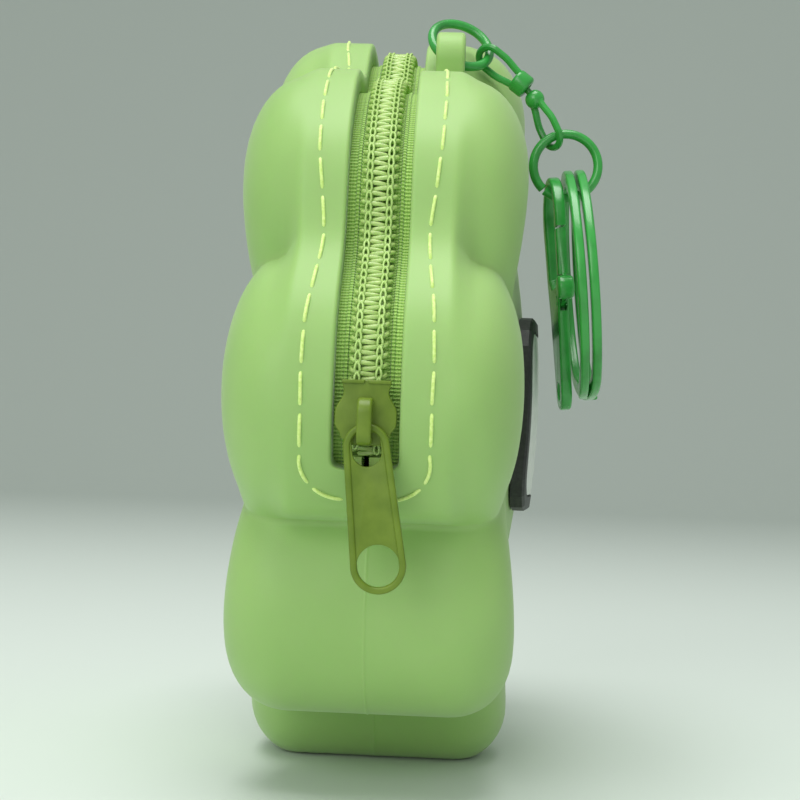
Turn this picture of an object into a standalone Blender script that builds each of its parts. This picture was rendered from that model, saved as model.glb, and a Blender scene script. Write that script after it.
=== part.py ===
"""Flower-shaped silicone coin purse with a coil zipper and a chain of key hardware.

The purse stands on its bottom petal. X runs across the flower, Y through its thickness with the front at -Y,
and +Z up. The origin is the middle of the flat it stands on. Angles called turn are measured about the
flower's centre, from -X (the near petal) upwards. The zipper runs over the top from there to the far petal.
"""
import math

import bmesh
import bpy
from mathutils import Matrix, Vector

# Sizes of the moulded shell, in metres
PETALS = 8
OUTER_RADIUS = 0.0526
VALLEY_RADIUS = 0.041729
PETAL_VALLEY_FILL = 0.0012
SHELL_THICKNESS = 0.0372
SHELL_WALL = 0.0020
RIM_FILLET = 0.0082
BAND_FILLET_REACH = 0.0118
BASE_FLAT_DEPTH = 0.0012
BASE_FLAT_ROUNDING = 0.0008
DISC_RADIUS = 0.026
DISC_CROWN = 0.0028
DISC_VALLEY = 0.0016
FACE_GROOVE_DEPTH = 0.0024
FACE_ROW_SHARE = 0.5
OUTER_BAND_SHARES = (0.5, 1.0)
OUTER_DISC_SHARES = (1.0, 0.62)
INNER_BAND_SHARES = (1.0,)
INNER_DISC_SHARES = (1.0,)
OUTER_COLUMNS = 10
INNER_COLUMNS = 10

# The sewn band round the zipper, which bridges the valleys between the petals
BAND_HALF_WIDTH = 0.0091
BAND_FALL_WIDTH = 0.0032
BAND_WALL = 0.0030
BAND_STEP_WALL = 0.0013
BAND_DIP = 0.0044
BAND_END_TURN = math.radians(16.5)
BAND_FADE_TURN = math.radians(6.0)

# The slot and the zipper in it
SLOT_HALF_WIDTH = 0.00395
SLOT_CORNER = 0.0018
SLOT_END_TURN = math.radians(11.0)
SLOT_STEPS = 57
SLOT_CORNER_SHARES = (0.0, 0.12, 0.4)
SEAT_GAP = 0.0003
TAPE_THICKNESS = 0.0005
TAPE_HALF_GAP = 0.0009
TAPE_HALF_WIDTH = 0.0075
TAPE_END_TURN = math.radians(15.2)
COIL_PITCH = 0.00132
COIL_HEIGHT = 0.0016
COIL_HALF_WIDTH = 0.00235
COIL_HEAD_GAP = 0.00045
COIL_ROOT_GAP = 0.0011
COIL_TOOTH_FALL = 0.0004
COIL_END_TURN = math.radians(8.9)
STOP_LENGTH = 0.0011
STOP_GROWTH = 0.0003
STOP_GAP = 0.0003

# The slider and its pull
SLIDER_TURN = math.radians(-3.3)
SLIDER_LENGTH = 0.0076
SLIDER_END_HALF_WIDTH = 0.00285
SLIDER_SHOULDER_HALF_WIDTH = 0.0036
SLIDER_MOUTH_HALF_WIDTH = 0.0022
SLIDER_TOP_THICKNESS = 0.0010
SLIDER_BOTTOM_THICKNESS = 0.0011
SLIDER_TAPE_ROOM = 0.0004
SLIDER_FLANGE_DROP = 0.0009
SLIDER_POST_HALF_WIDTH = 0.00025
FLANGE_TOP_SHARE = 0.4
FLANGE_BOTTOM_SHARE = 0.55
BRIDGE_HALF_WIDTH = 0.00085
BRIDGE_HEIGHT = 0.0029
BRIDGE_BAR = 0.0009
BRIDGE_LENGTH = 0.0054
BRIDGE_CORNER_SHARE = 0.45
BRIDGE_ROUND_SHARE = 1.2
BRIDGE_SHOULDER_SHARE = 0.75
PULL_LENGTH = 0.0198
PULL_TOP_WIDTH = 0.0054
PULL_BOTTOM_WIDTH = 0.0065
PULL_THICKNESS = 0.0011
PULL_PANEL_RECESS = 0.00025
PULL_RIM = 0.00085
PULL_EYE_WIDTH = 0.0034
PULL_EYE_LENGTH = 0.0039
PULL_BAR = 0.0011
PULL_HOLE_RADIUS = 0.0025
PULL_LEAN = math.radians(7.5)
PULL_EYE_ROUND_SHARE = 0.6
PULL_PLAY = 0.0004

# The badge on the front face
BADGE_WIDTH = 0.044
BADGE_HEIGHT = 0.0268
BADGE_CORNER = 0.007
BADGE_DROP = 0.0016
BADGE_THICKNESS = 0.0019
BADGE_RIM = 0.0019
BADGE_RECESS = 0.0008
PANEL_SINK = 0.0001
BADGE_RING_SHARES = (0.7, 0.35)

# The hanging tab and its ring
TAB_X = -0.0172
TAB_HOLE_RISE = 0.0021
TAB_RADIUS = 0.0034
TAB_FRONT_Y = -0.0096
TAB_BACK_Y = -0.0056
TAB_ROOT = 0.0012
TAB_HOLE_RADIUS = 0.0019
RING_WIRE = 0.00065
TAB_RING_RADIUS = 0.00425
TAB_RING_SLOPE = math.radians(30.5)
TAB_RING_LEAN = math.radians(36.5)
TAB_RING_SEAT = math.radians(-88.7)
TAB_RING_HANG = math.radians(12.0)
TAB_RING_SAG = 0.0007

# The swivel
SWIVEL_TOP_SLOPE = math.radians(37.3)
SWIVEL_PIN_SLOPE = math.radians(49.5)
SWIVEL_BOTTOM_SLOPE = math.radians(63.6)
SWIVEL_TOP_TWIST = math.radians(-45.0)
SWIVEL_WIRE = 0.0005
SWIVEL_SHOULDER_SHARE = 0.45
SWIVEL_LOOP_HALF = 0.00175
SWIVEL_TOP_LEG = 0.0044
SWIVEL_COLLAR_RADIUS = 0.00165
SWIVEL_COLLAR_HEIGHT = 0.0024
SWIVEL_BORE = 0.00075
SWIVEL_PIN_RADIUS = 0.00045
SWIVEL_POCKET = 0.00125
SWIVEL_POCKET_DEPTH = 0.0009
SWIVEL_HEAD_HEIGHT = 0.0005
SWIVEL_NECK = 0.0004
SWIVEL_BEAD_RADIUS = 0.00135
SWIVEL_BOTTOM_LEG = 0.0049
SWIVEL_BOTTOM_TWIST = math.radians(33.0)

# The jump ring and the flat split ring
JUMP_RING_RADIUS = 0.0045
JUMP_RING_CUT = math.radians(5.0)
JUMP_RING_CUT_ANGLE = math.radians(229.0)
SPLIT_RING_RADIUS = 0.016
SPLIT_RING_WIDTH = 0.0021
SPLIT_RING_TURN_THICKNESS = 0.0012
SPLIT_RING_TURN_GAP = 0.00042
SPLIT_RING_ROUNDING = 0.0003
SPLIT_RING_TILT = math.radians(5.9)
SPLIT_RING_STEPS = 36

# The lobster clasp
CLASP_LENGTH = 0.0325
CLASP_CLAW_RADIUS = 0.0064
CLASP_CLAW_WALL = 0.0020
CLASP_CLAW_TOP_WALL = 0.0010
CLASP_THICKNESS = 0.0015
CLASP_ROUNDING = 0.0003
CLASP_EYE_RADIUS = 0.0026
CLASP_EYE_HOLE = 0.0012
CLASP_WAIST_HALF = 0.0029
CLASP_MOUTH_TOP = 0.0075
CLASP_MOUTH_BOTTOM = 0.0165
CLASP_TURN = math.radians(5.0)
CLASP_TILT = math.radians(5.1)
CLASP_SLOT_HALF = 0.0005
CLASP_SIDE_GAP = 0.0007
CLASP_SPINE_SHARE = 0.82
CLASP_HEEL_SHARE = 0.72
CLASP_STEP_SHARE = 0.42
CLASP_SPINE_RISE_SHARE = 1.3
CLASP_WAIST_DROP_SHARE = 1.5
GATE_HALF_THICKNESS = 0.0003
GATE_BAR_THICKNESS = 0.0015
GATE_KNOB_THICKNESS = 0.0022
GATE_WIDTH = 0.0017
GATE_KNOB_RADIUS = 0.0016
GATE_PIN_RADIUS = 0.0005
GATE_CLEARANCE = 0.0003
GATE_LINE_SHARE = 0.75
GATE_SHOULDER_SHARE = 1.6
GATE_BULGE_SHARE = 0.4
GATE_KNOB_RISE_SHARE = 0.3

# Curve resolution
WIRE_SIDES = 8
RING_STEPS = 28
CUT_OVERRUN = 0.002

# Sizes that follow from the ones above
HALF_THICKNESS = SHELL_THICKNESS / 2
CENTRE_HEIGHT = OUTER_RADIUS - BASE_FLAT_DEPTH
PETAL_STEP = 2 * math.pi / PETALS
PETAL_RING_RADIUS = (OUTER_RADIUS ** 2 - VALLEY_RADIUS ** 2) / 2 / (
    OUTER_RADIUS - VALLEY_RADIUS * math.cos(PETAL_STEP / 2)
)
PETAL_RADIUS = OUTER_RADIUS - PETAL_RING_RADIUS
VALLEY_THETA = math.atan2(
    VALLEY_RADIUS * math.sin(PETAL_STEP / 2),
    VALLEY_RADIUS * math.cos(PETAL_STEP / 2) - PETAL_RING_RADIUS,
)
TAPE_OUTER = OUTER_RADIUS - BAND_WALL - SEAT_GAP
TAPE_INNER = TAPE_OUTER - TAPE_THICKNESS
COIL_BOTTOM = TAPE_OUTER + SEAT_GAP
COIL_TOP = COIL_BOTTOM + COIL_HEIGHT
SLIDER_TOP_UNDER = COIL_TOP + SEAT_GAP
SLIDER_TOP = SLIDER_TOP_UNDER + SLIDER_TOP_THICKNESS
SLIDER_BOTTOM_TOP = TAPE_INNER - SEAT_GAP - SLIDER_TAPE_ROOM
SLIDER_BOTTOM = SLIDER_BOTTOM_TOP - SLIDER_BOTTOM_THICKNESS
FLOWER_CENTRE = Vector((0, 0, CENTRE_HEIGHT))


def smooth(share):
    """Ease from 0 to 1."""
    share = min(max(share, 0.0), 1.0)
    return share * share * (3 - 2 * share)


def material(name, colour, roughness, metallic=0.0):
    """A plain finish: colour, roughness and metallic value."""
    made = bpy.data.materials.new(name)
    made.use_nodes = True
    shader = made.node_tree.nodes["Principled BSDF"]
    shader.inputs["Base Color"].default_value = (*colour, 1.0)
    shader.inputs["Roughness"].default_value = roughness
    shader.inputs["Metallic"].default_value = metallic
    return made


def add_object(name, mesh_builder, finish, location=None, rotation=None, smooth_angle=math.radians(40)):
    """Make an object from a bmesh, shade its round faces smooth and give it its finish."""
    mesh = bpy.data.meshes.new(name)
    bmesh.ops.recalc_face_normals(mesh_builder, faces=mesh_builder.faces)
    mesh_builder.to_mesh(mesh)
    mesh_builder.free()
    made = bpy.data.objects.new(name, mesh)
    bpy.context.collection.objects.link(made)
    if location is not None:
        made.location = location
    if rotation is not None:
        made.rotation_euler = rotation.to_euler()
    if finish is not None:
        mesh.materials.append(finish)
    mesh.shade_smooth()
    mesh.set_sharp_from_angle(angle=smooth_angle)
    return made


def combine(target, tool, operation):
    """Join the tool to the target, or cut it out, and remove the tool."""
    modifier = target.modifiers.new(operation, "BOOLEAN")
    modifier.operation = operation
    modifier.solver = "EXACT"
    modifier.object = tool
    bpy.context.view_layer.update()
    graph = bpy.context.evaluated_depsgraph_get()
    made = bpy.data.meshes.new_from_object(target.evaluated_get(graph))
    target.modifiers.clear()
    target.data = made
    bpy.data.objects.remove(tool)


def loft(rings, closed=False, cap=True):
    """Join rings of points with faces. Closed joins the last ring to the first."""
    builder = bmesh.new()
    made = [[builder.verts.new(point) for point in ring] for ring in rings]
    pairs = list(zip(made, made[1:]))
    if closed:
        pairs.append((made[-1], made[0]))
    count = len(made[0])
    for low, high in pairs:
        for index in range(count):
            after = (index + 1) % count
            builder.faces.new((low[index], low[after], high[after], high[index]))
    if cap and not closed:
        builder.faces.new(made[0])
        builder.faces.new(made[-1])
    return builder


def tube(points, radius, closed=False, sides=WIRE_SIDES):
    """A round wire along a path, its section carried from point to point without twisting."""
    points = [Vector(point) for point in points]
    count = len(points)
    tangents = []
    for index in range(count):
        before = points[index - 1] if closed or index else points[0]
        after = points[(index + 1) % count] if closed or index < count - 1 else points[-1]
        tangents.append((after - before).normalized())
    side = tangents[0].orthogonal().normalized()
    rings = []
    for point, tangent in zip(points, tangents):
        side = (side - tangent * side.dot(tangent)).normalized()
        other = tangent.cross(side)
        ring = []
        for step in range(sides):
            angle = 2 * math.pi * step / sides
            ring.append(point + (side * math.cos(angle) + other * math.sin(angle)) * radius)
        rings.append(ring)
    return loft(rings, closed=closed)


def turned(profile, sides=20):
    """A solid turned about the local Z axis from (radius, height) pairs, closed at both ends."""
    builder = bmesh.new()
    rings = []
    for radius, height in profile:
        ring = []
        for step in range(sides):
            angle = 2 * math.pi * step / sides
            ring.append(builder.verts.new((radius * math.cos(angle), radius * math.sin(angle), height)))
        rings.append(ring)
    for low, high in zip(rings, rings[1:]):
        for index in range(sides):
            after = (index + 1) % sides
            builder.faces.new((low[index], low[after], high[after], high[index]))
    builder.faces.new(rings[0])
    builder.faces.new(rings[-1])
    return builder


def plate(outline, thickness, bevel=0.0):
    """A flat plate from an outline in local X and Y, centred on its thickness along local Z."""
    builder = bmesh.new()
    low = [builder.verts.new((x, y, -thickness / 2)) for x, y in outline]
    face = builder.faces.new(low)
    swept = bmesh.ops.extrude_face_region(builder, geom=[face])
    raised = [item for item in swept["geom"] if isinstance(item, bmesh.types.BMVert)]
    bmesh.ops.translate(builder, verts=raised, vec=(0, 0, thickness))
    bmesh.ops.recalc_face_normals(builder, faces=builder.faces)
    if bevel:
        half = thickness / 2
        rims = [edge for edge in builder.edges if abs(edge.verts[0].co.z - edge.verts[1].co.z) < half]
        bmesh.ops.bevel(builder, geom=rims, offset=bevel, segments=1, profile=0.5, affect="EDGES")
    return builder


def arc(centre, radius, start, end, steps):
    """Points on an arc from start to end, angles in radians."""
    points = []
    for step in range(steps + 1):
        angle = start + (end - start) * step / steps
        points.append((centre[0] + radius * math.cos(angle), centre[1] + radius * math.sin(angle)))
    return points


def frame_of(across, along, origin):
    """A placement whose local X is across and local Y is along, both made square."""
    along = along.normalized()
    normal = across.cross(along).normalized()
    across = along.cross(normal).normalized()
    placed = Matrix((across, along, normal)).transposed().to_4x4()
    placed.translation = origin
    return placed


def place(made, placement, origin):
    """Move the mesh to its placement and put the object's origin at the given point."""
    made.data.transform(Matrix.Translation(-origin) @ placement)
    made.location = origin


# The flower's outline


def band_dip(turn):
    """How far the zipper sinks in the valleys between petals."""
    return BAND_DIP * ((1 - math.cos(PETALS * turn)) / 2) ** 2


def band_share(turn):
    """1 along the zipper, fading to 0 in the first valley below each of its ends."""
    past = max(-turn, turn - math.pi) - BAND_END_TURN
    return 1 - smooth(past / BAND_FADE_TURN)


def signed_turn(turn):
    """A turn between a quarter below the near petal and a quarter below the far one."""
    while turn > 1.5 * math.pi:
        turn -= 2 * math.pi
    return turn


def flower_columns(per_petal):
    """The turn, outline radius and lobe share of each column of points round the flower."""
    columns = []
    for petal in range(PETALS):
        for step in range(per_petal):
            theta = VALLEY_THETA * (2 * step / per_petal - 1)
            reach = PETAL_RING_RADIUS + PETAL_RADIUS * math.cos(theta)
            turn = petal * PETAL_STEP + math.atan2(PETAL_RADIUS * math.sin(theta), reach)
            lobe = (math.cos(theta) - math.cos(VALLEY_THETA)) / (1 - math.cos(VALLEY_THETA))
            radius = math.hypot(reach, PETAL_RADIUS * math.sin(theta))
            columns.append((signed_turn(turn), radius + PETAL_VALLEY_FILL * (1 - lobe) ** 6, lobe))
    return columns


def flower_point(turn, radius, y):
    """A point at a turn and a radius about the flower's centre."""
    return Vector((-radius * math.cos(turn), y, CENTRE_HEIGHT + radius * math.sin(turn)))


def disc_depth(radius):
    """Distance from the middle plane to the crowned disc on the front and back faces."""
    return HALF_THICKNESS - DISC_VALLEY + DISC_CROWN * (1 - (radius / DISC_RADIUS) ** 2)


def skin(wall, per_petal, fillet_steps, band_rows, disc_rows):
    """One skin of the shell: the outer one with no wall, or the inner one a wall inside it."""
    columns = flower_columns(per_petal)
    half = HALF_THICKNESS - wall
    fillet = RIM_FILLET - wall
    straight = half - fillet
    band_wall = BAND_WALL if wall else 0.0
    band_half = BAND_HALF_WIDTH - (BAND_STEP_WALL if wall else 0.0)
    floor = wall

    def rim_radius(column, depth):
        turn, radius, lobe = column
        lobed = radius - wall
        bridged = OUTER_RADIUS - band_dip(turn) - band_wall
        share = band_share(turn) * (1 - smooth((depth - band_half) / BAND_FALL_WIDTH))
        return lobed + (bridged - lobed) * share

    def fillet_reach(turn):
        return RIM_FILLET + (BAND_FILLET_REACH - RIM_FILLET) * band_share(turn) - wall

    rows = []
    for depth in [0.0] + [band_half * share for share in band_rows] + [straight]:
        rows.append([(rim_radius(column, depth), depth) for column in columns])
    for step in range(1, fillet_steps + 1):
        angle = math.pi / 2 * step / fillet_steps
        depth = straight + fillet * math.sin(angle)
        row = []
        for column in columns:
            inset = fillet_reach(column[0]) * (1 - math.cos(angle))
            sunk = FACE_GROOVE_DEPTH * (1 - column[2]) * math.sin(angle) ** 3
            row.append((rim_radius(column, depth) - inset, depth - sunk))
        rows.append(row)
    row = []
    for turn, radius, lobe in columns:
        edge = radius - wall - fillet_reach(turn)
        reach = DISC_RADIUS + (edge - DISC_RADIUS) * FACE_ROW_SHARE
        sunk = FACE_GROOVE_DEPTH * (1 - lobe) + DISC_VALLEY * (1 - FACE_ROW_SHARE) ** 2
        row.append((reach, half - sunk * (1 + FACE_ROW_SHARE) / 2))
    rows.append(row)
    for share in disc_rows:
        radius = DISC_RADIUS * share
        rows.append([(radius, disc_depth(radius) - wall) for column in columns])

    builder = bmesh.new()
    rings = []
    for side in (-1, 1):
        for row in rows if side > 0 else rows[:0:-1]:
            ring = []
            for column, (radius, depth) in zip(columns, row):
                point = flower_point(column[0], radius, side * depth)
                if not wall and point.z < BASE_FLAT_ROUNDING:
                    point.z = 0.0
                point.z = max(point.z, floor)
                ring.append(builder.verts.new(point))
            rings.append(ring)
    count = len(columns)
    for low, high in zip(rings, rings[1:]):
        for index in range(count):
            after = (index + 1) % count
            builder.faces.new((low[index], low[after], high[after], high[index]))
    for ring, side in ((rings[0], -1), (rings[-1], 1)):
        pole = builder.verts.new((0, side * (disc_depth(0) - wall), CENTRE_HEIGHT))
        for index in range(count):
            builder.faces.new((ring[index], ring[(index + 1) % count], pole))
    return builder


def even_turns(start, end, steps):
    """Evenly spaced turns."""
    return [start + (end - start) * step / steps for step in range(steps + 1)]


def along_zipper(turns, section):
    """Sweep a section, given as (y, radius at a crest) pairs for a turn, along the zipper's path."""
    rings = []
    for step, turn in enumerate(turns):
        sink = band_dip(turn)
        rings.append([flower_point(turn, radius - sink, y) for y, radius in section(turn, step)])
    return loft(rings)


# Finishes
for item in list(bpy.data.objects):
    bpy.data.objects.remove(item)

SILICONE = material("silicone", (0.42, 0.66, 0.26), 0.55)
TAPE = material("woven_tape", (0.19, 0.45, 0.07), 0.85)
COIL = material("nylon_coil", (0.44, 0.62, 0.26), 0.35)
SLIDER_ENAMEL = material("olive_enamel", (0.30, 0.38, 0.13), 0.35)
HARDWARE_ENAMEL = material("green_enamel", (0.05, 0.36, 0.08), 0.28)
BADGE_BLACK = material("badge_black", (0.01, 0.012, 0.012), 0.5)
BADGE_WHITE = material("badge_white", (0.78, 0.80, 0.76), 0.4)

# Shell: one moulding, hollow, with the zipper slot over its top and the tab on its rim
shell_skin = skin(0.0, OUTER_COLUMNS, 5, OUTER_BAND_SHARES, OUTER_DISC_SHARES)
shell = add_object("shell", shell_skin, SILICONE, smooth_angle=math.radians(60))

TAB_TURN_RADIUS = OUTER_RADIUS - BAND_DIP + TAB_HOLE_RISE
TAB_TURN = math.acos(-TAB_X / TAB_TURN_RADIUS)
TAB_SEAT_SINK = band_dip(TAB_TURN)
TAB_HOLE_HEIGHT = OUTER_RADIUS - TAB_SEAT_SINK + TAB_HOLE_RISE
tab_up = flower_point(TAB_TURN, 1.0, 0) - flower_point(TAB_TURN, 0, 0)
tab_mid_y = (TAB_FRONT_Y + TAB_BACK_Y) / 2
tab_hole = flower_point(TAB_TURN, TAB_HOLE_HEIGHT, tab_mid_y)
tab_outline = arc((0, 0), TAB_RADIUS, 0, math.pi, 12)
tab_foot = TAB_HOLE_RISE + TAB_ROOT
tab_outline += [(-TAB_RADIUS, -tab_foot), (TAB_RADIUS, -tab_foot)]
tab = add_object("tab_tool", plate(tab_outline, TAB_BACK_Y - TAB_FRONT_Y), None)
tab_across = tab_up.cross(Vector((0, 1, 0)))
tab.data.transform(frame_of(tab_across, tab_up, tab_hole))
combine(shell, tab, "UNION")
hollow_skin = skin(SHELL_WALL, INNER_COLUMNS, 2, INNER_BAND_SHARES, INNER_DISC_SHARES)
combine(shell, add_object("hollow_tool", hollow_skin, None), "DIFFERENCE")


def slot_section(turn, step):
    """The slot's rounded ends: it narrows over the last of its length."""
    left = (SLOT_END_TURN - max(-turn, turn - math.pi)) * OUTER_RADIUS
    tuck = SLOT_CORNER - math.sqrt(max(SLOT_CORNER ** 2 - max(SLOT_CORNER - left, 0.0) ** 2, 0.0))
    half = SLOT_HALF_WIDTH - tuck
    low = OUTER_RADIUS - BAND_WALL - CUT_OVERRUN
    high = OUTER_RADIUS + CUT_OVERRUN
    return [(-half, low), (half, low), (half, high), (-half, high)]


def slot_rings():
    """Rings for the slot cutter, closer together in its rounded ends."""
    corner_turn = SLOT_CORNER / OUTER_RADIUS
    turns = [-SLOT_END_TURN + corner_turn * share for share in SLOT_CORNER_SHARES]
    span_start = -SLOT_END_TURN + corner_turn
    span_end = math.pi + SLOT_END_TURN - corner_turn
    turns += even_turns(span_start, span_end, SLOT_STEPS)
    turns += [math.pi + SLOT_END_TURN - corner_turn * share for share in SLOT_CORNER_SHARES[::-1]]
    rings = []
    for turn in turns:
        sink = band_dip(turn)
        rings.append([flower_point(turn, radius - sink, y) for y, radius in slot_section(turn, 0)])
    return rings


combine(shell, add_object("slot_tool", loft(slot_rings()), None), "DIFFERENCE")

# Tab ring: a round wire ring that leans back, slopes to the front and passes through the tab's hole
ring_front = Vector((0, -math.cos(TAB_RING_SLOPE), -math.sin(TAB_RING_SLOPE)))
ring_back = Vector((math.sin(TAB_RING_LEAN), 0, math.cos(TAB_RING_LEAN)))
ring_rise = (ring_back - ring_front * ring_back.dot(ring_front)).normalized()


def tab_ring_spoke(angle):
    """Direction from the tab ring's centre to its wire."""
    return ring_front * math.cos(angle) + ring_rise * math.sin(angle)


tab_ring_centre = tab_hole - tab_ring_spoke(TAB_RING_SEAT) * (TAB_RING_RADIUS - TAB_RING_SAG)
tab_hole_axis = ring_front * -math.sin(TAB_RING_SEAT) + ring_rise * math.cos(TAB_RING_SEAT)
hole_profile = [(TAB_HOLE_RADIUS, -CUT_OVERRUN * 2), (TAB_HOLE_RADIUS, CUT_OVERRUN * 2)]
hole_tool = add_object("hole_tool", turned(hole_profile, 14), None)
hole_across = tab_hole_axis.orthogonal()
hole_tool.data.transform(frame_of(hole_across, tab_hole_axis.cross(hole_across), tab_hole))
combine(shell, hole_tool, "DIFFERENCE")
shell.data.shade_smooth()
shell.data.set_sharp_from_angle(angle=math.radians(50))

tab_ring_points = []
for step in range(RING_STEPS):
    spoke = tab_ring_spoke(2 * math.pi * step / RING_STEPS)
    tab_ring_points.append(tab_ring_centre + spoke * TAB_RING_RADIUS)
tab_ring = add_object("tab_ring", tube(tab_ring_points, RING_WIRE, closed=True), HARDWARE_ENAMEL)
place(tab_ring, Matrix(), tab_hole)

# Zipper: two woven tapes under the slot's edges, each with a nylon coil along its inner edge
for side, name in ((-1, "front"), (1, "back")):

    def tape_section(turn, step):
        near = side * TAPE_HALF_GAP
        far = side * TAPE_HALF_WIDTH
        return [(near, TAPE_INNER), (far, TAPE_INNER), (far, TAPE_OUTER), (near, TAPE_OUTER)]

    def coil_section(turn, step):
        head = step % 2 == (side > 0)
        near = side * (COIL_HEAD_GAP if head else COIL_ROOT_GAP)
        far = side * COIL_HALF_WIDTH
        top = COIL_TOP - (0.0 if head else COIL_TOOTH_FALL)
        return [(near, COIL_BOTTOM), (far, COIL_BOTTOM), (far, top), (near, top)]

    tape_start = -TAPE_END_TURN
    tape_end = math.pi + TAPE_END_TURN
    skin_turns = sorted(column[0] for column in flower_columns(INNER_COLUMNS))
    skin_turns = [turn for turn in skin_turns if tape_start < turn < tape_end]
    tape_builder = along_zipper([tape_start] + skin_turns + [tape_end], tape_section)
    add_object("tape_" + name, tape_builder, TAPE)
    coil_length = (math.pi + 2 * COIL_END_TURN) * (COIL_BOTTOM - BAND_DIP / 4)
    coil_steps = 2 * round(coil_length / COIL_PITCH)
    coil_turns = even_turns(-COIL_END_TURN, math.pi + COIL_END_TURN, coil_steps)
    coil_builder = along_zipper(coil_turns, coil_section)
    add_object("coil_" + name, coil_builder, COIL, smooth_angle=math.radians(25))

    stop_turn = STOP_LENGTH / COIL_BOTTOM
    stop_start = -COIL_END_TURN - STOP_GAP / COIL_BOTTOM

    def stop_section(turn, step):
        near = side * COIL_HEAD_GAP
        far = side * (COIL_HALF_WIDTH - STOP_GROWTH)
        top = COIL_TOP + STOP_GROWTH
        return [(near, COIL_BOTTOM), (far, COIL_BOTTOM), (far, top), (near, top)]

    stop_builder = along_zipper((stop_start - stop_turn, stop_start), stop_section)
    add_object("top_stop_" + name, stop_builder, COIL)


def bottom_stop_section(turn, step):
    """The stop at the far end holds both coils."""
    far = COIL_HALF_WIDTH - STOP_GROWTH
    top = COIL_TOP + STOP_GROWTH
    return [(-far, COIL_BOTTOM), (far, COIL_BOTTOM), (far, top), (-far, top)]


far_start = math.pi + COIL_END_TURN + STOP_GAP / COIL_BOTTOM
far_turn = STOP_LENGTH / COIL_BOTTOM
add_object("bottom_stop", along_zipper((far_start, far_start + far_turn), bottom_stop_section), COIL)

# Slider: top and bottom plates joined by the wedge post, guide flanges and the bridge for the pull
half_length = SLIDER_LENGTH / 2
slider_shape_shares = ((1.0, 0), (0.72, 0), (0.1, 1), (-0.3, 1), (-0.72, 0.45), (-1.0, -1))


def slider_half_width(kind):
    """Half width of the slider's outline at its end, its shoulder and its mouth."""
    if kind < 0:
        return SLIDER_MOUTH_HALF_WIDTH
    return SLIDER_END_HALF_WIDTH + (SLIDER_SHOULDER_HALF_WIDTH - SLIDER_END_HALF_WIDTH) * kind


slider_edge = [(slider_half_width(kind), half_length * share) for share, kind in slider_shape_shares]
slider_outline = slider_edge + [(-x, y) for x, y in reversed(slider_edge)]
slider_frame = Matrix(((0, 0, -1, 0), (-1, 0, 0, 0), (0, 1, 0, 0), (0, 0, 0, 1)))


def slider_plate(low, high, outline, bevel=0.0):
    """A plate of the slider between two radii, drawn about the flower's centre."""
    builder = plate(outline, high - low, bevel)
    bmesh.ops.translate(builder, verts=builder.verts, vec=(0, 0, (low + high) / 2))
    made = add_object("slider_tool", builder, SLIDER_ENAMEL)
    made.data.transform(slider_frame)
    return made


slider = slider_plate(SLIDER_TOP_UNDER, SLIDER_TOP, slider_outline, SLIDER_TOP_THICKNESS / 5)
slider_under = slider_plate(SLIDER_BOTTOM, SLIDER_BOTTOM_TOP, slider_outline, SLIDER_TOP_THICKNESS / 5)
combine(slider, slider_under, "UNION")
post_start = -half_length + BRIDGE_BAR / 2
post_end = -half_length / 5
post_outline = [
    (-SLIDER_POST_HALF_WIDTH, post_start),
    (SLIDER_POST_HALF_WIDTH, post_start),
    (SLIDER_POST_HALF_WIDTH, post_end - SLIDER_POST_HALF_WIDTH),
    (0, post_end),
    (-SLIDER_POST_HALF_WIDTH, post_end - SLIDER_POST_HALF_WIDTH),
]
post_low = (SLIDER_BOTTOM + SLIDER_BOTTOM_TOP) / 2
post_high = (SLIDER_TOP_UNDER + SLIDER_TOP) / 2
combine(slider, slider_plate(post_low, post_high, post_outline), "UNION")
flange_inside = COIL_HALF_WIDTH + SEAT_GAP
flange_end = (SLIDER_END_HALF_WIDTH + SLIDER_SHOULDER_HALF_WIDTH) / 2
flange_edge = [(flange_end, half_length * FLANGE_TOP_SHARE)]
flange_edge += slider_edge[2:4]
flange_edge += [(flange_end, -half_length * FLANGE_BOTTOM_SHARE)]
for side in (-1, 1):
    flange = [(side * x, y) for x, y in flange_edge]
    flange += [(side * flange_inside, flange_edge[-1][1]), (side * flange_inside, flange_edge[0][1])]
    combine(slider, slider_plate(SLIDER_TOP_UNDER - SLIDER_FLANGE_DROP, post_high, flange), "UNION")

bridge_reach = BRIDGE_LENGTH / 2
bridge_mid = -half_length + BRIDGE_LENGTH / 2 + BRIDGE_BAR / 5
bridge_foot = SLIDER_TOP_UNDER + SLIDER_TOP_THICKNESS / 2
bridge_low = SLIDER_TOP - bridge_foot
bridge_corner = bridge_reach * BRIDGE_CORNER_SHARE
bridge_round = BRIDGE_BAR * BRIDGE_ROUND_SHARE
bridge_rise = bridge_low + BRIDGE_HEIGHT
bridge_outer = [(-bridge_reach, 0), (-bridge_reach, bridge_rise - bridge_corner * BRIDGE_SHOULDER_SHARE)]
bridge_near = (-bridge_reach + bridge_round, bridge_rise - bridge_round)
bridge_far = (bridge_reach - bridge_corner, bridge_rise - bridge_corner)
bridge_outer += arc(bridge_near, bridge_round, math.pi, math.pi / 2, 3)
bridge_outer += arc(bridge_far, bridge_corner, math.pi / 2, 0, 4)
bridge_outer += [(bridge_reach, 0)]
bridge_inner = [(bridge_reach - BRIDGE_BAR, 0)]
bridge_inner_corner = bridge_corner - BRIDGE_BAR / 2
bridge_inner += arc(
    (bridge_reach - BRIDGE_BAR - bridge_inner_corner, bridge_rise - BRIDGE_BAR - bridge_inner_corner),
    bridge_inner_corner, 0, math.pi / 2, 3,
)
bridge_inner += [(-bridge_reach + BRIDGE_BAR, bridge_rise - BRIDGE_BAR), (-bridge_reach + BRIDGE_BAR, 0)]
bridge_plate = plate(bridge_outer + bridge_inner, BRIDGE_HALF_WIDTH * 2, BRIDGE_BAR / 5)
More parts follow.
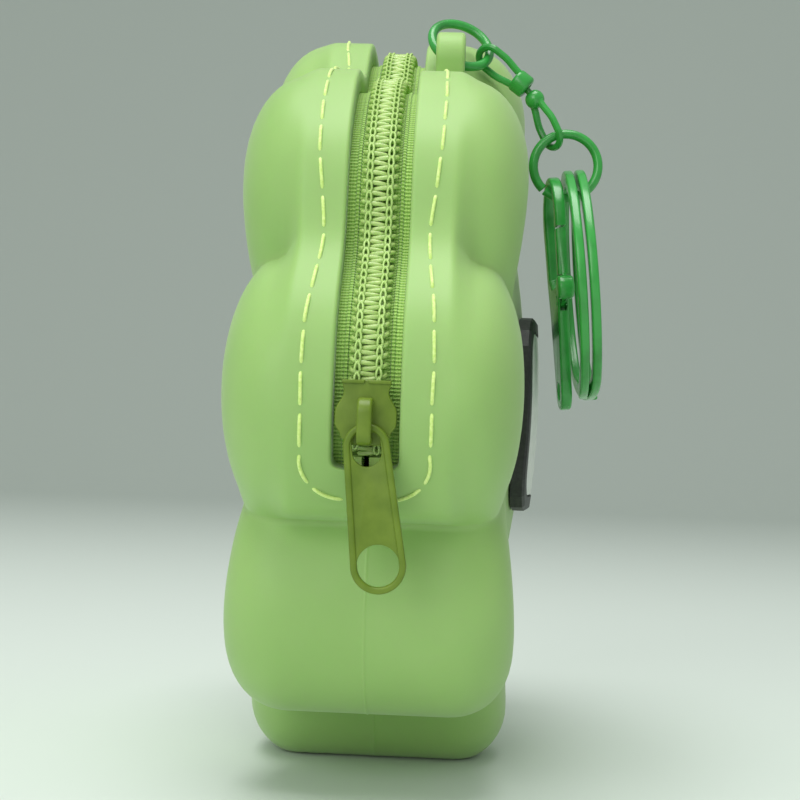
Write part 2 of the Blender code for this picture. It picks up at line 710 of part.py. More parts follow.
bridge = add_object("bridge_tool", bridge_plate, SLIDER_ENAMEL)
bridge_frame = Matrix(((0, -1, 0, -bridge_foot), (0, 0, -1, 0), (1, 0, 0, bridge_mid), (0, 0, 0, 1)))
bridge.data.transform(bridge_frame)
combine(slider, bridge, "UNION")
slider.name = "slider_body"
slider.data.name = "slider_body"
slider.data.shade_smooth()
slider.data.set_sharp_from_angle(angle=math.radians(35))
slider.location = FLOWER_CENTRE
slider.rotation_euler = (0, SLIDER_TURN, 0)

# Pull: a stamped plate with a raised rim, an eye round the bridge and a round hole at its free end
pull_bar_height = SLIDER_TOP + PULL_PLAY + PULL_THICKNESS / 2
pull_bar_along = bridge_mid - bridge_reach + BRIDGE_BAR + PULL_PLAY + PULL_BAR / 2
pull_slider_frame = Matrix.Translation(FLOWER_CENTRE) @ Matrix.Rotation(SLIDER_TURN, 4, "Y")
pull_pivot = pull_slider_frame @ Vector((-pull_bar_height, 0, pull_bar_along))
pull_top = PULL_BAR / 2
pull_bottom = pull_top - PULL_LENGTH
top_half = PULL_TOP_WIDTH / 2
bottom_half = PULL_BOTTOM_WIDTH / 2
flare = math.asin((bottom_half - top_half) / (PULL_LENGTH - top_half - bottom_half))


def pull_outline(inset):
    """The pull's outline: two arcs of unlike radius joined by straight sides."""
    upper = arc((0, pull_top - top_half), top_half - inset, -flare, math.pi + flare, 10)
    low_centre = (0, pull_bottom + bottom_half)
    lower = arc(low_centre, bottom_half - inset, math.pi + flare, 2 * math.pi - flare, 10)
    return upper + lower


pull = add_object("zip_pull", plate(pull_outline(0.0), PULL_THICKNESS, PULL_THICKNESS / 6), SLIDER_ENAMEL)
eye_half = PULL_EYE_WIDTH / 2
eye_top = pull_top - PULL_BAR
eye_round = eye_half * PULL_EYE_ROUND_SHARE
eye_outline = arc((eye_half - eye_round, eye_top - eye_round), eye_round, 0, math.pi / 2, 4)
eye_outline += arc((eye_round - eye_half, eye_top - eye_round), eye_round, math.pi / 2, math.pi, 4)
eye_low = eye_top - PULL_EYE_LENGTH
eye_outline += arc((eye_round - eye_half, eye_low + eye_round), eye_round, math.pi, 1.5 * math.pi, 4)
eye_outline += arc((eye_half - eye_round, eye_low + eye_round), eye_round, 1.5 * math.pi, 2 * math.pi, 4)
combine(pull, add_object("eye_tool", plate(eye_outline, PULL_THICKNESS * 2), None), "DIFFERENCE")
hole_centre = (0, pull_bottom + bottom_half)
hole_outline = arc(hole_centre, PULL_HOLE_RADIUS, 0, 2 * math.pi * 19 / 20, 19)
combine(pull, add_object("pull_hole_tool", plate(hole_outline, PULL_THICKNESS * 2), None), "DIFFERENCE")
panel_top = eye_low - PULL_RIM
panel_low = hole_centre[1] + PULL_HOLE_RADIUS + PULL_RIM
panel_top_half = top_half - PULL_RIM
panel_low_half = bottom_half - PULL_RIM - (bottom_half - top_half) / 4
panel_outline = [(-panel_top_half, panel_top), (panel_top_half, panel_top)]
panel_outline += [(panel_low_half, panel_low), (-panel_low_half, panel_low)]
for side in (-1, 1):
    panel_tool = add_object("panel_tool", plate(panel_outline, PULL_PANEL_RECESS * 2), None)
    panel_tool.data.transform(Matrix.Translation((0, 0, side * PULL_THICKNESS / 2)))
    combine(pull, panel_tool, "DIFFERENCE")
pull.data.transform(slider_frame @ Matrix.Rotation(PULL_LEAN, 4, "Z"))
pull.data.shade_smooth()
pull.data.set_sharp_from_angle(angle=math.radians(35))
pull.location = pull_pivot
pull.rotation_euler = (0, SLIDER_TURN, 0)


# Badge: a rounded plate that follows the crowned disc, and the panel set in its recess
def badge_ring(inset, lift, shrink=1.0):
    """A rounded rectangle on the front face, inset from the badge's edge and lifted off the disc."""
    half_width = BADGE_WIDTH / 2 - inset
    half_height = BADGE_HEIGHT / 2 - inset
    corner = max(BADGE_CORNER - inset, BADGE_CORNER / 4)
    ring = []
    for quarter, (sx, sz) in enumerate(((1, 1), (-1, 1), (-1, -1), (1, -1))):
        centre = (sx * (half_width - corner), sz * (half_height - corner))
        for x, z in arc(centre, corner, quarter * math.pi / 2, (quarter + 1) * math.pi / 2, 4):
            x = x * shrink
            z = z * shrink - BADGE_DROP
            ring.append(Vector((x, -disc_depth(math.hypot(x, z)) - lift, CENTRE_HEIGHT + z)))
        next_sx, next_sz = ((-1, 1), (-1, -1), (1, -1), (1, 1))[quarter]
        next_centre = (next_sx * (half_width - corner), next_sz * (half_height - corner))
        end = (quarter + 1) * math.pi / 2
        start_x = centre[0] + corner * math.cos(end)
        start_z = centre[1] + corner * math.sin(end)
        stop_x = next_centre[0] + corner * math.cos(end)
        stop_z = next_centre[1] + corner * math.sin(end)
        for step in (1, 2, 3):
            x = (start_x + (stop_x - start_x) * step / 4) * shrink
            z = (start_z + (stop_z - start_z) * step / 4) * shrink - BADGE_DROP
            ring.append(Vector((x, -disc_depth(math.hypot(x, z)) - lift, CENTRE_HEIGHT + z)))
    return ring


def crowned_solid(rings_back, rings_front):
    """Close a stack of badge rings with a point in the middle of its back and of its front."""
    builder = loft(rings_back[::-1] + rings_front, cap=False)
    builder.verts.ensure_lookup_table()
    count = len(rings_back[0])
    total = len(builder.verts)
    for ring, start in ((rings_back[-1], 0), (rings_front[-1], total - count)):
        middle = sum(ring, Vector()) / count
        lift = -ring[0].y - disc_depth(math.hypot(ring[0].x, ring[0].z - CENTRE_HEIGHT))
        middle.y = -disc_depth(math.hypot(middle.x, middle.z - CENTRE_HEIGHT)) - lift
        builder.verts.ensure_lookup_table()
        pole = builder.verts.new(middle)
        builder.verts.ensure_lookup_table()
        for index in range(count):
            first = builder.verts[start + index]
            second = builder.verts[start + (index + 1) % count]
            builder.faces.new((first, second, pole))
    return builder


badge_top = SEAT_GAP + BADGE_THICKNESS
recess_floor = badge_top - BADGE_RECESS
edge_round = BADGE_THICKNESS / 6
badge_builder = crowned_solid(
    [badge_ring(0.0, SEAT_GAP, share) for share in (1.0, *BADGE_RING_SHARES)],
    [
        badge_ring(0.0, badge_top - edge_round),
        badge_ring(edge_round, badge_top),
        badge_ring(BADGE_RIM, badge_top),
        badge_ring(BADGE_RIM, recess_floor),
        *(badge_ring(BADGE_RIM, recess_floor, share) for share in BADGE_RING_SHARES),
    ],
)
add_object("badge_base", badge_builder, BADGE_BLACK)
panel_inset = BADGE_RIM + SEAT_GAP
panel_face = badge_top - PANEL_SINK
panel_builder = crowned_solid(
    [badge_ring(panel_inset, recess_floor + SEAT_GAP, share) for share in (1.0, *BADGE_RING_SHARES)],
    [badge_ring(panel_inset, panel_face, share) for share in (1.0, *BADGE_RING_SHARES)],
)
add_object("badge_panel", panel_builder, BADGE_WHITE)

# Swivel: two wire loops that turn on a headed pin
hang_spoke = tab_ring_spoke(TAB_RING_HANG)
hang_point = tab_ring_centre + hang_spoke * TAB_RING_RADIUS


def sloped(slope):
    """A direction forward and down at a slope below the level."""
    return Vector((0, -math.cos(slope), -math.sin(slope)))


def twisted(axis, twist):
    """A direction square to the axis, turned about it from X."""
    return (Matrix.Rotation(twist, 3, axis) @ Vector((1, 0, 0))).normalized()


top_axis = sloped(SWIVEL_TOP_SLOPE)
pin_axis = sloped(SWIVEL_PIN_SLOPE)
bottom_axis = sloped(SWIVEL_BOTTOM_SLOPE)
loop_play = SWIVEL_LOOP_HALF - SWIVEL_WIRE - RING_WIRE - SEAT_GAP


def swivel_loop(axis, twist, bend, leg, spread):
    """A wire loop: a round end at the bend and two legs along the axis that close in on a foot."""
    across = twisted(axis, twist)
    foot = bend + axis * leg
    points = [foot + across * spread]
    points.append(bend + axis * leg * SWIVEL_SHOULDER_SHARE + across * SWIVEL_LOOP_HALF)
    for step in range(9):
        angle = math.pi * step / 8
        spoke = across * math.cos(angle) - axis * math.sin(angle)
        points.append(bend + spoke * SWIVEL_LOOP_HALF)
    points.append(bend + axis * leg * SWIVEL_SHOULDER_SHARE - across * SWIVEL_LOOP_HALF)
    points.append(foot - across * spread)
    return tube(points, SWIVEL_WIRE)


def axis_frame(axis, origin):
    """A placement whose local Z runs down an axis of the swivel."""
    across = twisted(axis, 0.0)
    placed = Matrix((across, axis.cross(across), axis)).transposed().to_4x4()
    placed.translation = origin
    return placed


def turned_tool(name, profile, sides, axis, origin):
    """A turned solid placed on an axis of the swivel."""
    made = add_object(name, turned(profile, sides), HARDWARE_ENAMEL)
    made.data.transform(axis_frame(axis, origin))
    return made


top_bend = hang_point + top_axis * loop_play
collar_start = top_bend + top_axis * SWIVEL_TOP_LEG
collar_spread = SWIVEL_COLLAR_RADIUS - SWIVEL_WIRE
top_loop = swivel_loop(top_axis, SWIVEL_TOP_TWIST, top_bend, SWIVEL_TOP_LEG + SWIVEL_WIRE, collar_spread)
swivel_top = add_object("swivel_top", top_loop, HARDWARE_ENAMEL)
collar_round = SWIVEL_COLLAR_HEIGHT / 5
collar_profile = [
    (SWIVEL_COLLAR_RADIUS - collar_round, 0),
    (SWIVEL_COLLAR_RADIUS, collar_round),
    (SWIVEL_COLLAR_RADIUS, SWIVEL_COLLAR_HEIGHT - collar_round),
    (SWIVEL_COLLAR_RADIUS - collar_round, SWIVEL_COLLAR_HEIGHT),
]
combine(swivel_top, turned_tool("collar_tool", collar_profile, 16, top_axis, collar_start), "UNION")
bore_middle = collar_start + top_axis * (SWIVEL_COLLAR_HEIGHT + SWIVEL_POCKET_DEPTH) / 2
bore_reach = SWIVEL_COLLAR_HEIGHT - SWIVEL_POCKET_DEPTH
bore_profile = [(SWIVEL_BORE, -bore_reach), (SWIVEL_BORE, bore_reach)]
combine(swivel_top, turned_tool("bore_tool", bore_profile, 12, top_axis, bore_middle), "DIFFERENCE")
pocket_profile = [(SWIVEL_POCKET, -SWIVEL_WIRE / 5), (SWIVEL_POCKET, SWIVEL_POCKET_DEPTH)]
combine(swivel_top, turned_tool("pocket_tool", pocket_profile, 14, top_axis, collar_start), "DIFFERENCE")
place(swivel_top, Matrix(), hang_point)

bead_centre = bore_middle + pin_axis * (bore_reach / 2 + SWIVEL_NECK + SWIVEL_BEAD_RADIUS)
bottom_leg = SWIVEL_BOTTOM_LEG + SWIVEL_BEAD_RADIUS / 2
bottom_bend = bead_centre + bottom_axis * bottom_leg
bead_spread = SWIVEL_BEAD_RADIUS - SWIVEL_WIRE
bottom_reach = bottom_leg - SWIVEL_WIRE
bottom_loop = swivel_loop(-bottom_axis, SWIVEL_BOTTOM_TWIST, bottom_bend, bottom_reach, bead_spread)
swivel_bottom = add_object("swivel_bottom", bottom_loop, HARDWARE_ENAMEL)
bead_profile = []
for step in range(1, 8):
    angle = math.pi * step / 8
    bead_profile.append((SWIVEL_BEAD_RADIUS * math.sin(angle), -SWIVEL_BEAD_RADIUS * math.cos(angle)))
combine(swivel_bottom, turned_tool("bead_tool", bead_profile, 14, pin_axis, bead_centre), "UNION")
blind_profile = [(SWIVEL_BORE, -SWIVEL_BEAD_RADIUS * 2), (SWIVEL_BORE, SWIVEL_WIRE)]
combine(swivel_bottom, turned_tool("blind_tool", blind_profile, 12, pin_axis, bead_centre), "DIFFERENCE")
place(swivel_bottom, Matrix(), bead_centre)

head_base = -bore_reach / 2 - SEAT_GAP
head_top = head_base - SWIVEL_HEAD_HEIGHT
pin_end = (bead_centre - bore_middle).length + SWIVEL_WIRE - SEAT_GAP
head_reach = SWIVEL_POCKET - SEAT_GAP
pin_profile = [
    (head_reach / 2, head_top),
    (head_reach, head_top + SWIVEL_HEAD_HEIGHT / 2),
    (head_reach, head_base),
    (SWIVEL_PIN_RADIUS, head_base),
    (SWIVEL_PIN_RADIUS, pin_end),
]
swivel_pin = turned_tool("swivel_pin", pin_profile, 12, pin_axis, bore_middle)
place(swivel_pin, Matrix(), bead_centre)

# Jump ring: a round wire ring, closed but for its cut, through the swivel's lower loop
jump_top = bottom_bend + bottom_axis * loop_play
jump_centre = jump_top + bottom_axis * JUMP_RING_RADIUS
jump_points = []
for step in range(RING_STEPS + 1):
    angle = JUMP_RING_CUT_ANGLE + JUMP_RING_CUT / 2 + (2 * math.pi - JUMP_RING_CUT) * step / RING_STEPS
    jump_points.append(jump_centre + Vector((0, -math.cos(angle), math.sin(angle))) * JUMP_RING_RADIUS)
jump_ring = add_object("jump_ring", tube(jump_points, RING_WIRE), HARDWARE_ENAMEL)
place(jump_ring, Matrix(), jump_top)


def hung_seat(offset, half, tilt):
    """Where a plate hung in the jump ring meets its wire, at a distance along Y from the ring's middle."""
    reach = JUMP_RING_RADIUS - RING_WIRE - SEAT_GAP
    heights = []
    for end in (-half, half):
        across = offset + end * math.cos(tilt)
        heights.append(end * math.sin(tilt) - math.sqrt(reach ** 2 - across ** 2))
    return jump_centre + Vector((0, offset, max(heights)))


split_thickness = 2 * SPLIT_RING_TURN_THICKNESS + SPLIT_RING_TURN_GAP
hung_width = split_thickness + CLASP_SIDE_GAP + CLASP_THICKNESS
split_offset = (split_thickness - hung_width) / 2
clasp_offset = (hung_width - CLASP_THICKNESS) / 2


# Split ring: a flat strip wound in two turns that lie side by side
split_inner = SPLIT_RING_RADIUS - SPLIT_RING_WIDTH
split_step = SPLIT_RING_TURN_THICKNESS + SPLIT_RING_TURN_GAP
split_rings = []
for step in range(2 * SPLIT_RING_STEPS):
    angle = 2 * math.pi * (step + 0.5) / SPLIT_RING_STEPS
    shift = split_step * smooth((step / SPLIT_RING_STEPS - 0.9) / 0.2) - split_step / 2
    low = shift - SPLIT_RING_TURN_THICKNESS / 2
    high = shift + SPLIT_RING_TURN_THICKNESS / 2
    ring = []
    square = ((split_inner, low), (SPLIT_RING_RADIUS, low), (SPLIT_RING_RADIUS, high), (split_inner, high))
    for radius, edge in square:
        outward = 1 if radius > split_inner else -1
        sideways = 1 if edge > shift else -1
        corner = [
            (radius, edge - sideways * SPLIT_RING_ROUNDING),
            (radius - outward * SPLIT_RING_ROUNDING, edge),
        ]
        for reach, side in corner if outward == sideways else corner[::-1]:
            ring.append(Vector((reach * math.sin(angle), side, -reach * math.cos(angle))))
    split_rings.append(ring)
split_ring = add_object("split_ring", loft(split_rings), HARDWARE_ENAMEL, smooth_angle=math.radians(35))
split_seat = hung_seat(split_offset, split_thickness / 2 - SPLIT_RING_ROUNDING, SPLIT_RING_TILT)
split_tilt = Matrix.Rotation(-SPLIT_RING_TILT, 4, "X")
split_ring.data.transform(split_tilt @ Matrix.Translation((0, 0, -split_inner)))
split_ring.location = split_seat

# Clasp: a lobster claw hung by its claw from the jump ring, its gate towards the near side
claw_inner = CLASP_CLAW_RADIUS - CLASP_CLAW_WALL
claw_centre = (0, -claw_inner)
claw_outer_centre = (0, CLASP_CLAW_TOP_WALL - CLASP_CLAW_RADIUS)
clasp_low = CLASP_CLAW_TOP_WALL - CLASP_LENGTH + CLASP_EYE_RADIUS
mouth_top = CLASP_CLAW_TOP_WALL - CLASP_MOUTH_TOP
mouth_bottom = CLASP_CLAW_TOP_WALL - CLASP_MOUTH_BOTTOM
nose_angle = math.pi - math.asin((mouth_top - claw_outer_centre[1]) / CLASP_CLAW_RADIUS)
nose_inner_angle = math.pi - math.asin((mouth_top + claw_inner) / claw_inner)
spine_outer = CLASP_CLAW_RADIUS * CLASP_SPINE_SHARE
spine_inner = spine_outer - CLASP_CLAW_WALL
clasp_outline = arc(claw_outer_centre, CLASP_CLAW_RADIUS, nose_angle, -math.pi / 9, 16)
clasp_outline += [
    (spine_outer, mouth_bottom + CLASP_CLAW_WALL),
    (CLASP_WAIST_HALF + CLASP_CLAW_WALL / 2, mouth_bottom - CLASP_CLAW_WALL * CLASP_WAIST_DROP_SHARE),
]
clasp_outline += arc((0, clasp_low), CLASP_EYE_RADIUS, 0, -math.pi, 10)
clasp_outline += [
    (-CLASP_WAIST_HALF - CLASP_CLAW_WALL / 2, mouth_bottom - CLASP_CLAW_WALL * CLASP_WAIST_DROP_SHARE),
    (-CLASP_CLAW_RADIUS * CLASP_HEEL_SHARE, mouth_bottom),
    (-CLASP_CLAW_RADIUS * CLASP_STEP_SHARE, mouth_bottom + CLASP_CLAW_WALL / 2),
    (spine_inner - CLASP_CLAW_WALL, mouth_bottom + CLASP_CLAW_WALL / 2),
    (spine_inner, mouth_bottom + CLASP_CLAW_WALL * CLASP_SPINE_RISE_SHARE),
]
clasp_outline += arc(claw_centre, claw_inner, -math.pi / 9, nose_inner_angle, 14)
clasp_plate = plate(clasp_outline, CLASP_THICKNESS, CLASP_ROUNDING)
clasp_body = add_object("clasp_body", clasp_plate, HARDWARE_ENAMEL)
eye_hole = arc((0, clasp_low), CLASP_EYE_HOLE, 0, 2 * math.pi * 11 / 12, 11)
combine(clasp_body, add_object("clasp_eye_tool", plate(eye_hole, CLASP_THICKNESS * 2), None), "DIFFERENCE")

gate_pivot = (-CLASP_CLAW_RADIUS / 2, mouth_bottom - CLASP_CLAW_WALL / 2)
gate_line = -CLASP_CLAW_RADIUS + GATE_WIDTH * GATE_LINE_SHARE
gate_top = mouth_top - GATE_CLEARANCE
gate_outline = [
    (gate_line - GATE_WIDTH / 2, gate_top),
    (gate_line - GATE_WIDTH / 2, mouth_bottom + GATE_KNOB_RADIUS * GATE_SHOULDER_SHARE),
]
gate_bulge = (gate_line - GATE_WIDTH / 2, mouth_bottom + GATE_KNOB_RADIUS * GATE_BULGE_SHARE)
gate_outline += arc(gate_bulge, GATE_KNOB_RADIUS, math.radians(110), math.radians(240), 6)
gate_outline += [
    (gate_pivot[0] - GATE_WIDTH / 2, gate_pivot[1] - GATE_WIDTH / 2),
    (gate_pivot[0] + GATE_WIDTH / 2, gate_pivot[1] - GATE_WIDTH / 2),
    (gate_pivot[0] + GATE_WIDTH / 2, gate_pivot[1] + GATE_WIDTH / 2),
    (gate_line + GATE_WIDTH / 2, mouth_bottom + GATE_KNOB_RADIUS * GATE_SHOULDER_SHARE),
    (gate_line + GATE_WIDTH / 2, gate_top),
]
slot_reach = GATE_WIDTH / 2 + GATE_CLEARANCE * 2
slot_low = gate_pivot[1] - slot_reach
slot_high = mouth_bottom + CLASP_CLAW_WALL
slot_outline = [
    (-CLASP_CLAW_RADIUS - GATE_KNOB_RADIUS, slot_low),
    (gate_pivot[0] + slot_reach, slot_low),
    (gate_pivot[0] + slot_reach, slot_high),
    (-CLASP_CLAW_RADIUS - GATE_KNOB_RADIUS, slot_high),
]
slot_cut = add_object("slot_cut_tool", plate(slot_outline, CLASP_SLOT_HALF * 2), None)
combine(clasp_body, slot_cut, "DIFFERENCE")
pin_hole = arc(gate_pivot, GATE_PIN_RADIUS + GATE_CLEARANCE, 0, 2 * math.pi * 9 / 10, 9)
combine(clasp_body, add_object("pin_hole_tool", plate(pin_hole, CLASP_THICKNESS * 2), None), "DIFFERENCE")
clasp_gate = add_object("clasp_gate", plate(gate_outline, GATE_HALF_THICKNESS * 2), HARDWARE_ENAMEL)
bar_low = slot_high + GATE_CLEARANCE
bar_outline = [
    (gate_line - GATE_WIDTH / 2, gate_top),
    (gate_line - GATE_WIDTH / 2, bar_low),
    (gate_line + GATE_WIDTH / 2, bar_low),
    (gate_line + GATE_WIDTH / 2, gate_top),
]
gate_bar = add_object("bar_tool", plate(bar_outline, GATE_BAR_THICKNESS), HARDWARE_ENAMEL)
combine(clasp_gate, gate_bar, "UNION")
knob_x = -CLASP_CLAW_RADIUS * CLASP_HEEL_SHARE - GATE_CLEARANCE - GATE_KNOB_RADIUS
knob_centre = (knob_x, mouth_bottom + GATE_KNOB_RADIUS * GATE_KNOB_RISE_SHARE)
knob_outline = arc(knob_centre, GATE_KNOB_RADIUS, 0, 2 * math.pi * 11 / 12, 11)
knob_plate = plate(knob_outline, GATE_KNOB_THICKNESS, GATE_KNOB_THICKNESS / 5)
combine(clasp_gate, add_object("knob_tool", knob_plate, HARDWARE_ENAMEL), "UNION")
combine(clasp_gate, add_object("gate_hole_tool", plate(pin_hole, CLASP_THICKNESS * 2), None), "DIFFERENCE")
pin_outline = arc(gate_pivot, GATE_PIN_RADIUS, 0, 2 * math.pi * 9 / 10, 9)
clasp_pin = add_object("clasp_pin", plate(pin_outline, CLASP_THICKNESS), HARDWARE_ENAMEL)

clasp_seat = hung_seat(clasp_offset, CLASP_THICKNESS / 2 - CLASP_ROUNDING, CLASP_TILT)
clasp_frame = (
    Matrix.Translation(clasp_seat)
    @ Matrix.Rotation(-CLASP_TILT, 4, "X")
    @ Matrix.Rotation(CLASP_TURN, 4, "Z")
    @ Matrix.Rotation(math.pi / 2, 4, "X")
)
gate_origin = clasp_frame @ Vector((*gate_pivot, 0))
place(clasp_body, clasp_frame, clasp_seat)
place(clasp_gate, clasp_frame, gate_origin)
place(clasp_pin, clasp_frame, gate_origin)
for item in (clasp_body, clasp_gate, clasp_pin):
    item.data.shade_smooth()
    item.data.set_sharp_from_angle(angle=math.radians(35))
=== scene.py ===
import math

import bmesh
import bpy
from mathutils import Matrix, Vector


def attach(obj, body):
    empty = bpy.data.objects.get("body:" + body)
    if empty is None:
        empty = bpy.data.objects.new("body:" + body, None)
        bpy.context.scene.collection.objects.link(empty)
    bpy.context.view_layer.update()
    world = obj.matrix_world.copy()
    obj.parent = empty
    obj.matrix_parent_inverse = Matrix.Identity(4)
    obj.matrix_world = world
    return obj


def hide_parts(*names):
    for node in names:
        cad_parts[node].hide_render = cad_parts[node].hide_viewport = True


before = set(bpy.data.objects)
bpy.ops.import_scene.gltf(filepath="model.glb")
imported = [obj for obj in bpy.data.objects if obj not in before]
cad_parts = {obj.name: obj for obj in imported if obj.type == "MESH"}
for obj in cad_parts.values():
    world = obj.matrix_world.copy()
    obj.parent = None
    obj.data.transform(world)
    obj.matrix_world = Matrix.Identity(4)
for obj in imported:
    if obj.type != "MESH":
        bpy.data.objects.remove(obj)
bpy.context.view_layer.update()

# The purse itself: one silicone moulding in the shape of a flower with eight puffed petals. Round the zipper
# the moulding is a smooth band that bridges the valleys between petals, with a round-ended slot through it.
# Front and back halves are one loft of rows from the middle of the face, over the rim, and back inside.
PETALS = 8
OUTER_RADIUS = 0.0526
VALLEY_RADIUS = 0.041729
VALLEY_FILL = 0.0012
HALF_THICKNESS = 0.0186
SHELL_WALL = 0.002
RIM_FILLET = 0.0082
BAND_FILLET_REACH = 0.0118
BASE_FLAT_DEPTH = 0.0012
DISC_RADIUS = 0.026
DISC_CROWN = 0.0028
DISC_VALLEY = 0.0016
FACE_GROOVE_DEPTH = 0.0024
BAND_HALF_WIDTH = 0.0091
BAND_FALL_WIDTH = 0.0032
BAND_WALL = 0.003
BAND_INSET = 0.0013
BAND_DIP = 0.0044
BAND_END_TURN = math.radians(16.5)
BAND_FADE_TURN = math.radians(6.0)
SLOT_HALF_WIDTH = 0.00395
SLOT_CORNER = 0.0018
SLOT_END_TURN = math.radians(11.0)
SLOT_CORNER_SHARES = (-1.0, -0.5, -0.2, 0.0, 0.012, 0.05, 0.12, 0.25, 0.42, 0.65, 1.0)
LIP_ROUND = 0.0004
LIP_STEPS = 3
SEAM_RIDGE = 0.00009
SEAM_HALF_WIDTH = 0.00022
SEAM_SHARES = (0.5, 1.0, 1.6, 2.6)
RIM_ROWS = 14
OUTER_ROWS = (12, 12, 8)
INNER_ROWS = (4, 4, 2)
INNER_RIM_SHARES = (0.0, 0.3, 0.6, 1.0)
FINE_COLUMNS = 40
MERGE_DISTANCE = 0.000002
CENTRE_HEIGHT = OUTER_RADIUS - BASE_FLAT_DEPTH
PETAL_STEP = 2 * math.pi / PETALS
PETAL_RING_RADIUS = (OUTER_RADIUS ** 2 - VALLEY_RADIUS ** 2) / 2 / (
    OUTER_RADIUS - VALLEY_RADIUS * math.cos(PETAL_STEP / 2)
)
PETAL_RADIUS = OUTER_RADIUS - PETAL_RING_RADIUS
VALLEY_THETA = math.atan2(
    VALLEY_RADIUS * math.sin(PETAL_STEP / 2), VALLEY_RADIUS * math.cos(PETAL_STEP / 2) - PETAL_RING_RADIUS
)


def ease(share):
    share = min(max(share, 0.0), 1.0)
    return share * share * (3 - 2 * share)


def zipper_dip(turn):
    """How far the zipper sinks in the valleys between petals."""
    return BAND_DIP * ((1 - math.cos(PETALS * turn)) / 2) ** 2


def band_share(turn):
    return 1 - ease((max(-turn, turn - math.pi) - BAND_END_TURN) / BAND_FADE_TURN)


def petal_outline(turn):
    """Radius of the flower's outline at a turn, and how far up its petal that is, from 0 to 1."""
    off = (turn + PETAL_STEP / 2) % PETAL_STEP - PETAL_STEP / 2
    reach = math.sqrt(PETAL_RADIUS ** 2 - (PETAL_RING_RADIUS * math.sin(off)) ** 2)
    radius = PETAL_RING_RADIUS * math.cos(off) + reach
    theta_cos = (radius * math.cos(off) - PETAL_RING_RADIUS) / PETAL_RADIUS
    lobe = max((theta_cos - math.cos(VALLEY_THETA)) / (1 - math.cos(VALLEY_THETA)), 0.0)
    return radius + VALLEY_FILL * (1 - lobe) ** 6, lobe


def flower_point(turn, radius, y):
    return Vector((-radius * math.cos(turn), y, CENTRE_HEIGHT + radius * math.sin(turn)))


def slot_half_width(turn):
    """Half width of the slot, which ends in rounded corners."""
    left = (SLOT_END_TURN - max(-turn, turn - math.pi)) * OUTER_RADIUS
    if left <= 0:
        return 0.0
    if left >= SLOT_CORNER:
        return SLOT_HALF_WIDTH
    return SLOT_HALF_WIDTH * (1 - (1 - left / SLOT_CORNER) ** 4) ** 0.25


def rim_radius(turn, depth, wall=0.0, band_wall=0.0, band_half=BAND_HALF_WIDTH):
    """Radius of the rim at a distance from the middle plane."""
    lobed = petal_outline(turn)[0] - wall
    bridged = OUTER_RADIUS - zipper_dip(turn) - band_wall
    share = band_share(turn) * (1 - ease((depth - band_half) / BAND_FALL_WIDTH))
    return lobed + (bridged - lobed) * share


def disc_depth(radius):
    return HALF_THICKNESS - DISC_VALLEY + DISC_CROWN * (1 - (radius / DISC_RADIUS) ** 2)


def face_rows(turn, wall, fillet_steps, face_steps, disc_steps):
    """Rows from the top of the rim's straight part to the middle of a face, as (radius, depth) pairs."""
    lobe = petal_outline(turn)[1]
    fillet = RIM_FILLET - wall
    in_plane = RIM_FILLET + (BAND_FILLET_REACH - RIM_FILLET) * band_share(turn) - wall
    half = HALF_THICKNESS - wall
    straight = half - fillet
    rows = []
    for step in range(1, fillet_steps + 1):
        angle = math.pi / 2 * step / fillet_steps
        depth = straight + fillet * math.sin(angle)
        sunk = FACE_GROOVE_DEPTH * (1 - lobe) * math.sin(angle) ** 3
        rows.append((rim_radius(turn, depth, wall) - in_plane * (1 - math.cos(angle)), depth - sunk))
    edge = petal_outline(turn)[0] - wall - in_plane
    for step in range(1, face_steps):
        share = 1 - step / face_steps
        sunk = FACE_GROOVE_DEPTH * (1 - lobe) * ease(share) + DISC_VALLEY * (1 - ease(share))
        rows.append((DISC_RADIUS + (edge - DISC_RADIUS) * share, half - sunk))
    for step in range(disc_steps + 1):
        radius = DISC_RADIUS * (1 - step / disc_steps)
        rows.append((radius, disc_depth(radius) - wall))
    return rows


def shell_column(turn):
    """One column of the front half: from the face's middle over the rim to the slot, then back inside."""
    slot = slot_half_width(turn)
    lip = LIP_ROUND * slot / SLOT_HALF_WIDTH
    outer = []
    straight = HALF_THICKNESS - RIM_FILLET
    rim_depths = [slot + lip] + [slot + lip + SEAM_HALF_WIDTH * share for share in SEAM_SHARES]
    last = rim_depths[-1]
    rim_depths += [last + (straight - last) * step / RIM_ROWS for step in range(1, RIM_ROWS + 1)]
    for depth in rim_depths:
        radius = rim_radius(turn, depth)
        if slot == 0.0:
            radius += SEAM_RIDGE * (1 - ease(depth / SEAM_HALF_WIDTH))
        outer.append((radius, depth))
    outer += face_rows(turn, 0.0, *OUTER_ROWS)
    lips = []
    top = rim_radius(turn, slot + lip)
    for step in range(1, LIP_STEPS + 1):
        angle = math.pi / 2 * step / LIP_STEPS
        lips.append((top - lip * (1 - math.cos(angle)), slot + lip * (1 - math.sin(angle))))
    inside = []
    for share in INNER_RIM_SHARES:
        depth = slot + (straight - slot) * share
        inside.append((rim_radius(turn, depth, SHELL_WALL, BAND_WALL, BAND_HALF_WIDTH - BAND_INSET), depth))
    inside += face_rows(turn, SHELL_WALL, *INNER_ROWS)
    return outer[::-1] + lips + inside, len(outer) + len(lips)


def new_piece(name, shape):
    """A new piece from a finished bmesh."""
    mesh = bpy.data.meshes.new(name)
    shape.to_mesh(mesh)
    shape.free()
    made = bpy.data.objects.new(name, mesh)
    bpy.context.collection.objects.link(made)
    return made


